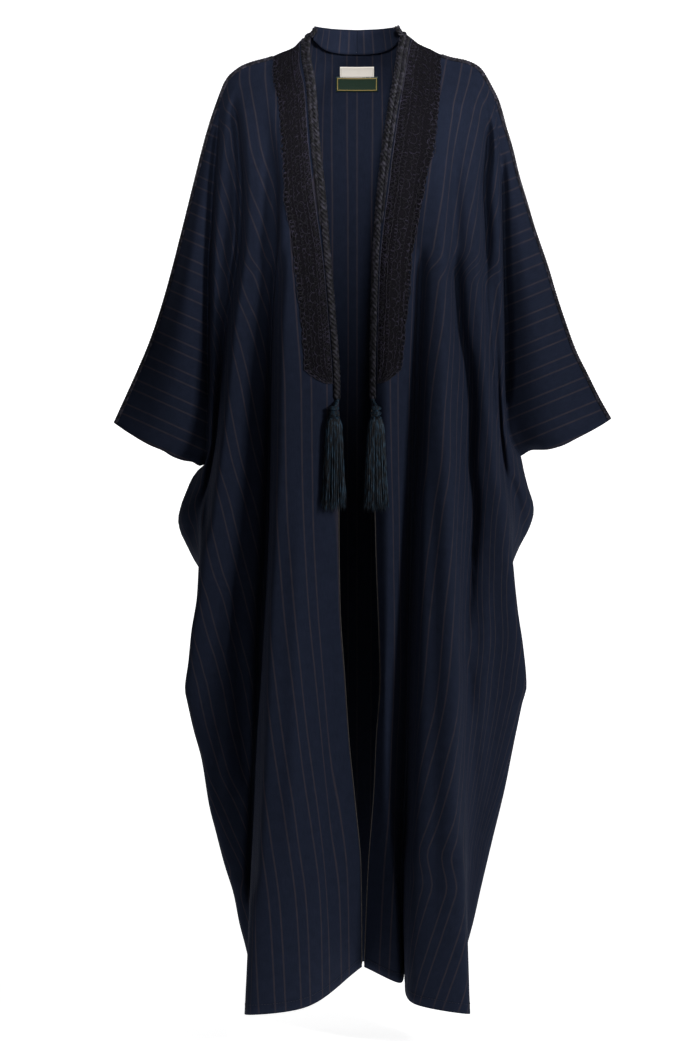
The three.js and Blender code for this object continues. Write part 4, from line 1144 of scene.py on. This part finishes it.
def finished(bm, name, material, node=None):
    """A mesh made into a piece, with its faces joined and turned outwards."""
    bmesh.ops.remove_doubles(bm, verts=bm.verts, dist=1e-6)
    bmesh.ops.recalc_face_normals(bm, faces=bm.faces)
    return declared(new_object(name, bm, material), node)


def edge_path(half, from_edge, lift, last_row, leads):
    """A path beside the front edge down to a row, in even steps. The leads take it up past the seam."""
    rows = np.linspace(1.0, last_row, 400)
    reach = between_cells(half["points"], rows, 0 * rows + EDGE_COLUMNS) - between_cells(
        half["points"], rows, 0 * rows
    )
    column = EDGE_COLUMNS * from_edge * MM / np.linalg.norm(reach, axis=1)
    path, outward = over_cloth(half, rows, column, lift)
    corner = half["side"]["shoulder"][0]
    lead = []
    for below, inwards, depth in leads:
        across = corner[0] - half["sign"] * (inwards - from_edge / SQUARE)
        lead.append(place(np.array([across, corner[1] + below, depth - lift - from_edge / 3])))
    path = np.concatenate([np.array(lead).reshape(-1, 3), path])
    outward = np.concatenate([outward[:1].repeat(len(lead), axis=0), outward])
    path, outward, gone = evenly(CORD_STEP * MM, path, outward)
    return path, outward / np.linalg.norm(outward, axis=1, keepdims=True), gone


def braid_end(half):
    """The row where the edge braids end, over the tassel."""
    across = read_table(half["side"]["lines"]["front edge"]["table"], BRAID_END_DOWN, 1)
    return rows_and_columns(half, np.array([BRAID_END_DOWN]), np.array([across]))[0][0]


def main_cord_path(half):
    """Where the wide cord runs, from the collar's top to the tassel."""
    return edge_path(half, MAIN_CORD["from_edge"], MAIN_CORD["lift"], braid_end(half), BRAID_LEAD)


def edge_braid(half, name, node, material):
    """Two twisted cords side by side at the neck. The inner one tapers off and ends on the chest."""
    bm = bmesh.new()
    path, outward, gone = main_cord_path(half)
    start, length = MAIN_CORD_WIDENS
    widened = np.clip((gone / MM - start) / length, 0, 1)
    width = mix(MAIN_CORD["width"], MAIN_CORD["low_width"], widened) * MM
    add_cord(bm, path, outward, gone, width, MAIN_CORD["height"] * MM, MAIN_CORD["pitch"] * MM, CORD_PLIES)
    path, outward, gone = edge_path(half, INNER_CORD["from_edge"], INNER_CORD["lift"], braid_end(half), [])
    keep = gone < INNER_CORD_ENDS * MM
    path, outward, gone = path[keep], outward[keep], gone[keep]
    tapered = np.clip((INNER_CORD_ENDS - gone / MM) / INNER_CORD_TAPER, 0, 1) ** 0.5
    width = np.maximum(INNER_CORD["width"] * tapered, 0.4) * MM
    add_cord(
        bm, path, outward, gone, width, INNER_CORD["height"] * MM, INNER_CORD["pitch"] * MM, CORD_PLIES, 0.4
    )
    return finished(bm, name, material, node)


def smoothed(path):
    """A path with its small unevenness taken out, and its ends where they were."""
    for _ in range(3):
        path[1:-1] = (path[:-2] + 2 * path[1:-1] + path[2:]) / 4
    return path


def overarm_braid(front, pieces, name, node, material):
    """A flat braid of twisted strands over the seam from the embroidery, over the shoulder, to the cuff."""
    sign, points = front["sign"], front["points"]
    start = int(np.argmax(sign * front["drawn"][0, :, 0] > sign * front["side"]["embroidery"][0][1]))
    last = front["body_columns"] + SLEEVE_COLUMNS * FINE
    seam = np.concatenate([points[0, start:last], points[: CUFF_ROWS * FINE + 1, last]])
    seam, _ = evenly(SEAM_STEP * MM, seam)
    along = np.gradient(seam, axis=0)
    inwards = np.stack([sign * along[:, 2], 0 * along[:, 0], -sign * along[:, 0]], axis=1)
    inwards /= np.linalg.norm(inwards, axis=1, keepdims=True)
    bm = bmesh.new()
    for piece, view, strands in ((pieces[0], -1, OVERARM_FRONT), (pieces[1], 1, OVERARM_BACK)):
        tree = BVHTree.FromObject(piece, bpy.context.evaluated_depsgraph_get())
        for reach, lift, width in strands:
            path, outs = [], []
            for point in seam + inwards * reach * MM:
                hit, normal, _, _ = tree.ray_cast(Vector((point[0], view, point[2])), Vector((0, -view, 0)))
                if hit is None:
                    continue
                normal = normal if normal.y * view > 0 else -normal
                path.append(hit + normal * lift * MM)
                outs.append(normal)
            outs = smoothed(np.array(outs))
            path, gone = evenly(BAND_STEP * MM, smoothed(np.array(path)))
            outs = outs[np.round(np.linspace(0, len(outs) - 1, len(path))).astype(int)]
            add_cord(bm, path, outs, gone, width * MM, width * MM * 0.9, OVERARM_PITCH * MM, 2)
    return finished(bm, name, material, node)


def embroidery_path(half, rows, share, lift):
    """A thread's path on the band, by grid row and share from the braid to the outer edge."""
    drawn, sign = half["drawn"], half["sign"]
    low = np.clip(rows.astype(int), 0, len(drawn) - 2)
    line = mix(drawn[low], drawn[low + 1], (rows - low)[:, None, None])[:, : half["body_columns"] + 1]
    start = line[:, 0, 0] + sign * read_table(BAND_START, line[:, 0, 1], 1) / SQUARE
    outer = read_table(half["side"]["embroidery"], line[:, 2 * FINE, 1], 1)
    across = mix(start, outer, share)
    numbers = np.arange(line.shape[1])
    columns = np.array([np.interp(sign * a, sign * row[:, 0], numbers) for a, row in zip(across, line)])
    return over_cloth(half, rows, columns, lift)


def band_rows(half):
    """Even steps down the band as grid rows, and how far along each one is in millimetres."""
    lowest, outermost = half["side"]["embroidery"][-1]
    last = rows_and_columns(half, np.array([lowest]), np.array([outermost]))[0][0]
    rows = np.linspace(0.4, last, 300)
    path, _ = embroidery_path(half, rows, 0.3 + 0 * rows, 0.0)
    gone = distances(path) / MM
    along = np.arange(0, gone[-1], BAND_STEP)
    return np.interp(along, gone, rows), along


def closing(along, length):
    """How wide the band still is near its rounded end."""
    return np.clip((length - along) / BAND_END, 0.0004, 1) ** 0.5


def band_ground(half, name, material):
    """The dense ground of the embroidered band, with its scalloped outer edge."""
    rows, along = band_rows(half)
    scallop = 1 - SCALLOP_DEPTH * (1 - np.abs(np.sin(math.pi * along / SCALLOP)) ** 0.7)
    reach = scallop * closing(along, along[-1])
    points, cut = [], []
    for share in np.linspace(0, 1, 17):
        lift = GROUND_LIFT * min(1, 6 * min(share, 1 - share) + 0.1)
        points.append(embroidery_path(half, rows, share * reach, lift)[0])
        cut.append(np.stack([share * GROUND_CUT + 0 * along, along * MM], axis=1))
    points, cut = np.array(points).transpose(1, 0, 2), np.array(cut).transpose(1, 0, 2)
    return declared(grid_object(name, points, cut, -1, material, GROUND_THICKNESS))


def lay_threads(half, rows, along, laid, name, material):
    """Threads couched on the band. Each has its shares, places along the band, lift and radius."""
    places = np.clip(np.concatenate([thread[1] for thread in laid]), 0, along[-1])
    shares = np.concatenate([thread[0] for thread in laid]) * closing(places, along[-1])
    lifts = np.concatenate([thread[2] + 0 * thread[0] for thread in laid])
    path, outward = embroidery_path(half, np.interp(places, along, rows), shares, lifts)
    bm = bmesh.new()
    first = 0
    for thread in laid:
        last = first + len(thread[0])
        add_tube(bm, path[first:last], outward[first:last], thread[3] * MM, 5 if last - first > 4 else 3, 0.8)
        first = last
    return finished(bm, name, material)


def embroider(half, name, material):
    """The couched threads of the front band: zigzags by the braid, curling vines and a looped edge."""
    rows, along = band_rows(half)
    random = np.random.default_rng(7)
    laid = []
    for middle, swing, period, phase, lift, radius in BAND_WAVES:
        drift = 0.012 * np.sin(along / 23 + random.uniform(0, 6)) + 0.01 * np.sin(
            along / 9.7 + random.uniform(0, 6)
        )
        share = middle + drift + swing * np.sin(
            2 * math.pi * (along / period + phase) + 0.4 * np.sin(along / 31)
        )
        laid.append((share, along, lift, radius))
    for middle, curl, period, phase, lift, radius in BAND_CURLS:
        places = np.arange(0, along[-1], period / CURL_STEPS)
        drift = random.uniform(0, 6, 3)
        size = curl * (1 + 0.3 * np.sin(places / 19 + drift[0]) + 0.35 * np.sin(places / 6.1 + drift[2]))
        turn = 2 * math.pi * (places / period + phase) + 0.8 * np.sin(places / 27 + drift[1])
        share = middle + 0.02 * np.sin(places / 33 + drift[2]) + size * np.cos(turn) / BAND_WIDTH
        bold = radius * mix(0.75, 1.15, np.clip((places - 160) / 120, 0, 1))
        laid.append((share, places + size * np.sin(turn), lift + 0.25 * np.sin(turn), bold))
    return lay_threads(half, rows, along, laid, name, material)


def filling(half, name, material):
    """Short dark satin stitches in all directions, which fill the band between its threads."""
    rows, along = band_rows(half)
    random = np.random.default_rng(11)
    laid = []
    t = np.linspace(-1, 1, 4)
    for _ in range(int(along[-1] * STITCHES_PER_MM)):
        share, at = random.uniform(0.03, 0.97), random.uniform(0, along[-1] - 6)
        reach, slant = random.uniform(1.6, 3.4), random.choice([-1, 1]) * random.uniform(0.3, 1.2)
        shares = share + reach * np.sin(slant) * t / BAND_WIDTH
        laid.append(
            (shares, at + reach * np.cos(slant) * t, 1.0 + 0.5 * (1 - t * t), random.uniform(0.35, 0.6))
        )
    return lay_threads(half, rows, along, laid, name, material)


def piping(half, name, material):
    """The thin bright line of piping between the braid and the embroidery."""
    rows, along = band_rows(half)
    path, outward = embroidery_path(half, rows, PIPING_SHARE + 0 * rows, PIPING_LIFT)
    bm = bmesh.new()
    add_tube(bm, path, outward, mix(0.8, 0.45, along / along[-1]) * MM, 6)
    return finished(bm, name, material)


def turned_head(bm):
    """The tassel's knots and bound head, turned from their profile, with yarn wound round the knots."""
    knots = np.array(HEAD_PROFILE) * MM
    steps = np.linspace(0, len(knots) - 1, 60)
    radius, height = (np.interp(steps, np.arange(len(knots)), knots[:, i])[:, None] for i in (0, 1))
    turns = np.arange(33) * 2 * math.pi / 32
    add_grid(bm, np.stack([
        radius * np.cos(turns), radius * np.sin(turns) * HEAD_FLATNESS, height + 0 * turns
    ], axis=-1))
    wound = np.linspace(0, 2 * math.pi, 40)
    for at, reach in WOUND_YARNS:
        ring = np.stack([reach * np.cos(wound), reach * HEAD_FLATNESS * np.sin(wound), at + 0 * wound], axis=1) * MM
        add_tube(bm, ring, ring * [1, 1, 0], WOUND_RADIUS * MM, 6)


def skirt_yarns(bm, random):
    """The tassel's loose yarns, in rings from its middle outwards, each a little wavy."""
    share = np.linspace(0, 1, 16) ** 1.4
    for count, root, swell, tip in SKIRT_RINGS:
        for i in range(count):
            angle = 2 * math.pi * (i + random.uniform(-0.3, 0.3)) / count
            spread = tip * random.uniform(0.8, 1.06) - root - swell
            away = root + swell * np.minimum(1, 9 * share) ** 0.6 + spread * share
            wave = 0.7 * np.sin(share * 7 + random.uniform(0, 6)) + 0.4 * np.sin(
                share * 17 + random.uniform(0, 6)
            )
            away = away + wave * share
            swing = angle + 0.16 * share * random.uniform(-1, 1)
            drop = mix(SKIRT_TOP, -TASSEL_DROP * random.uniform(0.93, 1.0), share)
            path = np.stack([away * np.cos(swing), away * np.sin(swing) * SKIRT_FLATNESS, drop], axis=1) * MM
            add_tube(bm, path, path * [1, 1, 0] + [0, 0, 1e-6], random.uniform(0.6, 0.85) * MM, 4)


def tassel(across, name, node, thread, half):
    """A cord with two knots, a bound head and a skirt of loose yarns that leans to the front."""
    top = place(np.array([across, TASSEL_TOP_DOWN, TASSEL_DEPTH]))
    bm = bmesh.new()
    begin = main_cord_path(half)[0][-1] - top + [0, 0, 0.001]
    bend = begin - [0, 0, 0.006]
    share = np.linspace(0, 1, 30)[:, None]
    cord = (1 - share) ** 2 * begin + 2 * share * (1 - share) * bend + share**2 * np.array([0, 0, -0.002])
    width, height, pitch = np.array(TASSEL_CORD) * MM
    add_cord(bm, cord, np.tile([0, -1.0, 0.05], (30, 1)), distances(cord), width, height, pitch, CORD_PLIES)
    turned_head(bm)
    skirt_yarns(bm, np.random.default_rng(int(across)))
    for vertex in bm.verts:
        vertex.co.y += TASSEL_LEAN * min(0, vertex.co.z) / TASSEL_DROP
        vertex.co += Vector(top)
    return finished(bm, name, thread, node)


def collar(sign, name, node, material):
    """Half of the collar's stand, from its centre seam to the front edge."""
    edges = []
    for table in (COLLAR_FOOT, COLLAR_TOP):
        away = np.linspace(0, 1, COLLAR_COLUMNS) * table[-1][0]
        edges.append(
            np.stack([CENTRE_ACROSS + sign * away, read_table(table, away, 1), read_table(table, away, 2)], axis=1)
        )
    levels = np.linspace(0, 1, COLLAR_ROWS)[:, None, None]
    points = place(mix(edges[0][None], edges[1][None], levels))
    points[:, 0, 0] = sign * HALF_SEAM_GAP * MM
    outward = grid_normals(points, 1)
    outward[:, 0] = [0, 1, 0]
    points = points + outward * COLLAR_THICKNESS * MM
    high = np.linspace(0, COLLAR_HEIGHT * MM, COLLAR_ROWS)[:, None]
    gone = distances(points[0])[None]
    cut = np.stack([sign * gone * (1 + COLLAR_FAN * high) + COLLAR_STRIPE_START, high + 0 * gone], axis=-1)
    piece = grid_object(name, points, cut, 1, material, COLLAR_THICKNESS)
    declared(piece, node)
    return piece


def label(node, name, back, colours):
    """A plain woven label on the inside of the back, a little proud of the cloth."""
    low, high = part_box(node)
    tree = BVHTree.FromObject(back, bpy.context.evaluated_depsgraph_get())
    x = np.linspace(low[0], high[0], LABEL_COLUMNS)
    z = np.linspace(high[2], low[2], LABEL_ROWS)
    points = np.zeros((LABEL_ROWS, LABEL_COLUMNS, 3))
    for r, height in enumerate(z):
        for c, across in enumerate(x):
            hit = tree.ray_cast(Vector((across, 0, height)), Vector((0, 1, 0)))[0]
            points[r, c] = [across, hit.y - (LAID_GAP + LABEL_THICKNESS) * MM, height]
    cut = np.stack(np.meshgrid(x - x[0], z - z[-1]), axis=-1)
    size = (high[0] - low[0], high[2] - low[2])
    piece = grid_object(name, points, cut, -1, label_material(name, *colours, size), LABEL_THICKNESS)
    declared(piece, node)
    return piece


def selvedge(half, name, material):
    """The pale woven edge that shows as a thin line down the front below the tassel."""
    path, outward, _ = edge_path(half, 0.5, 0.35, len(half["points"]) - 1.5, [])
    start = int(len(path) * SELVEDGE_START)
    bm = bmesh.new()
    add_tube(bm, path[start:], outward[start:], SELVEDGE_RADIUS * MM, 5)
    return finished(bm, name, material)


def hem_stitches(half, name, material):
    """The running stitches that hold the turned hem, over and under the cloth."""
    cell = np.linalg.norm(half["points"][-1, 4] - half["points"][-2, 4]) / MM
    columns = np.linspace(0.5, half["body_columns"] - 1.5, 300)
    rows = np.full(300, len(half["points"]) - 1 - HEM_DEPTH / cell)
    gone = distances(over_cloth(half, rows, columns, 0)[0])
    places = np.arange(0, gone[-1], STITCH * MM / 6)
    rows, columns = np.interp(places, gone, rows), np.interp(places, gone, columns)
    lift = 0.35 - 1.0 * (np.sin(2 * math.pi * places / (STITCH * MM)) < -0.5)
    path, outward = over_cloth(half, rows, columns, lift)
    bm = bmesh.new()
    add_tube(bm, path, outward, STITCH_RADIUS * MM, 4)
    return finished(bm, name, material)


cloth = twill_material()
# Black cord with painted grey highlights on its plies and painted shade in their grooves.
braid_yarn = yarn_material("braid_yarn", "#0b0b10", "#454350", 0.0016)
# The flat seam braid is paler, so that it draws the outline of the shoulders and sleeves.
overarm_yarn = yarn_material("overarm_braid_yarn", "#14131a", "#625f70", 0.0016)
# Violet-grey silk thread, the brightest thing on the bands.
thread = yarn_material("embroidery_thread", "#0d0c13", "#454056", 0.0011)
# Near-black thread that gives the bands their dark grain.
filling_thread = yarn_material("filling_thread", "#0a090e", "#24212c", 0.0011)
# A smooth thin line, a little lighter than the cord beside it.
piping_yarn = yarn_material("piping_yarn", "#23222c", "#454357", 0.0014)
ground = ground_material()
# Teal-blue silk, with painted highlights streaked along the yarns and painted shade in the gaps between them.
silk = yarn_material("tassel_yarn", "#01030a", "#3a5e78", 0.0012, 0.5, 0.25, (650, 650, 90))
# Navy thread that nearly hides in the twill.
sewing_thread = yarn_material("sewing_thread", "#1b1e2c", "#2b2e40", 0.0009)
# Undyed grey-brown yarn of the cloth's own edge.
selvedge_yarn = yarn_material("selvedge_yarn", "#3b3837", "#575350", 0.0012)

made = build_panels(cloth)
for sign, hand in ((-1, "right"), (1, "left")):
    front, back = made[hand], made[hand + "_back"]
    collar(sign, "collar_" + hand + "_stand", "collar_" + hand, cloth)
    edge_braid(front, "edge_braid_" + hand + "_cords", "edge_braid_" + hand, braid_yarn)
    band_ground(front, "embroidery_ground_" + hand, ground)
    embroider(front, "embroidery_threads_" + hand, thread)
    filling(front, "embroidery_filling_" + hand, filling_thread)
    piping(front, "embroidery_piping_" + hand, piping_yarn)
    selvedge(front, "front_selvedge_" + hand, selvedge_yarn)
    hem_stitches(front, "hem_stitches_" + hand, sewing_thread)
    hem_stitches(back, "back_hem_stitches_" + hand, sewing_thread)
    pieces = (made[hand + "_piece"], made["back_piece"])
    overarm_braid(front, pieces, "overarm_braid_" + hand + "_cords", "overarm_braid_" + hand, overarm_yarn)
    tassel(TASSEL_ACROSS[hand], "tassel_" + hand + "_yarns", "tassel_" + hand, silk, front)
label("label_upper", "label_upper_woven", made["back_piece"], ("#efe8df", "#ddd5ca", "#ddd5ca"))
label("label_lower", "label_lower_woven", made["back_piece"], ("#16291d", "#21382a", "#a08a50"))
floor_and_backdrop()
lights()
front_camera()
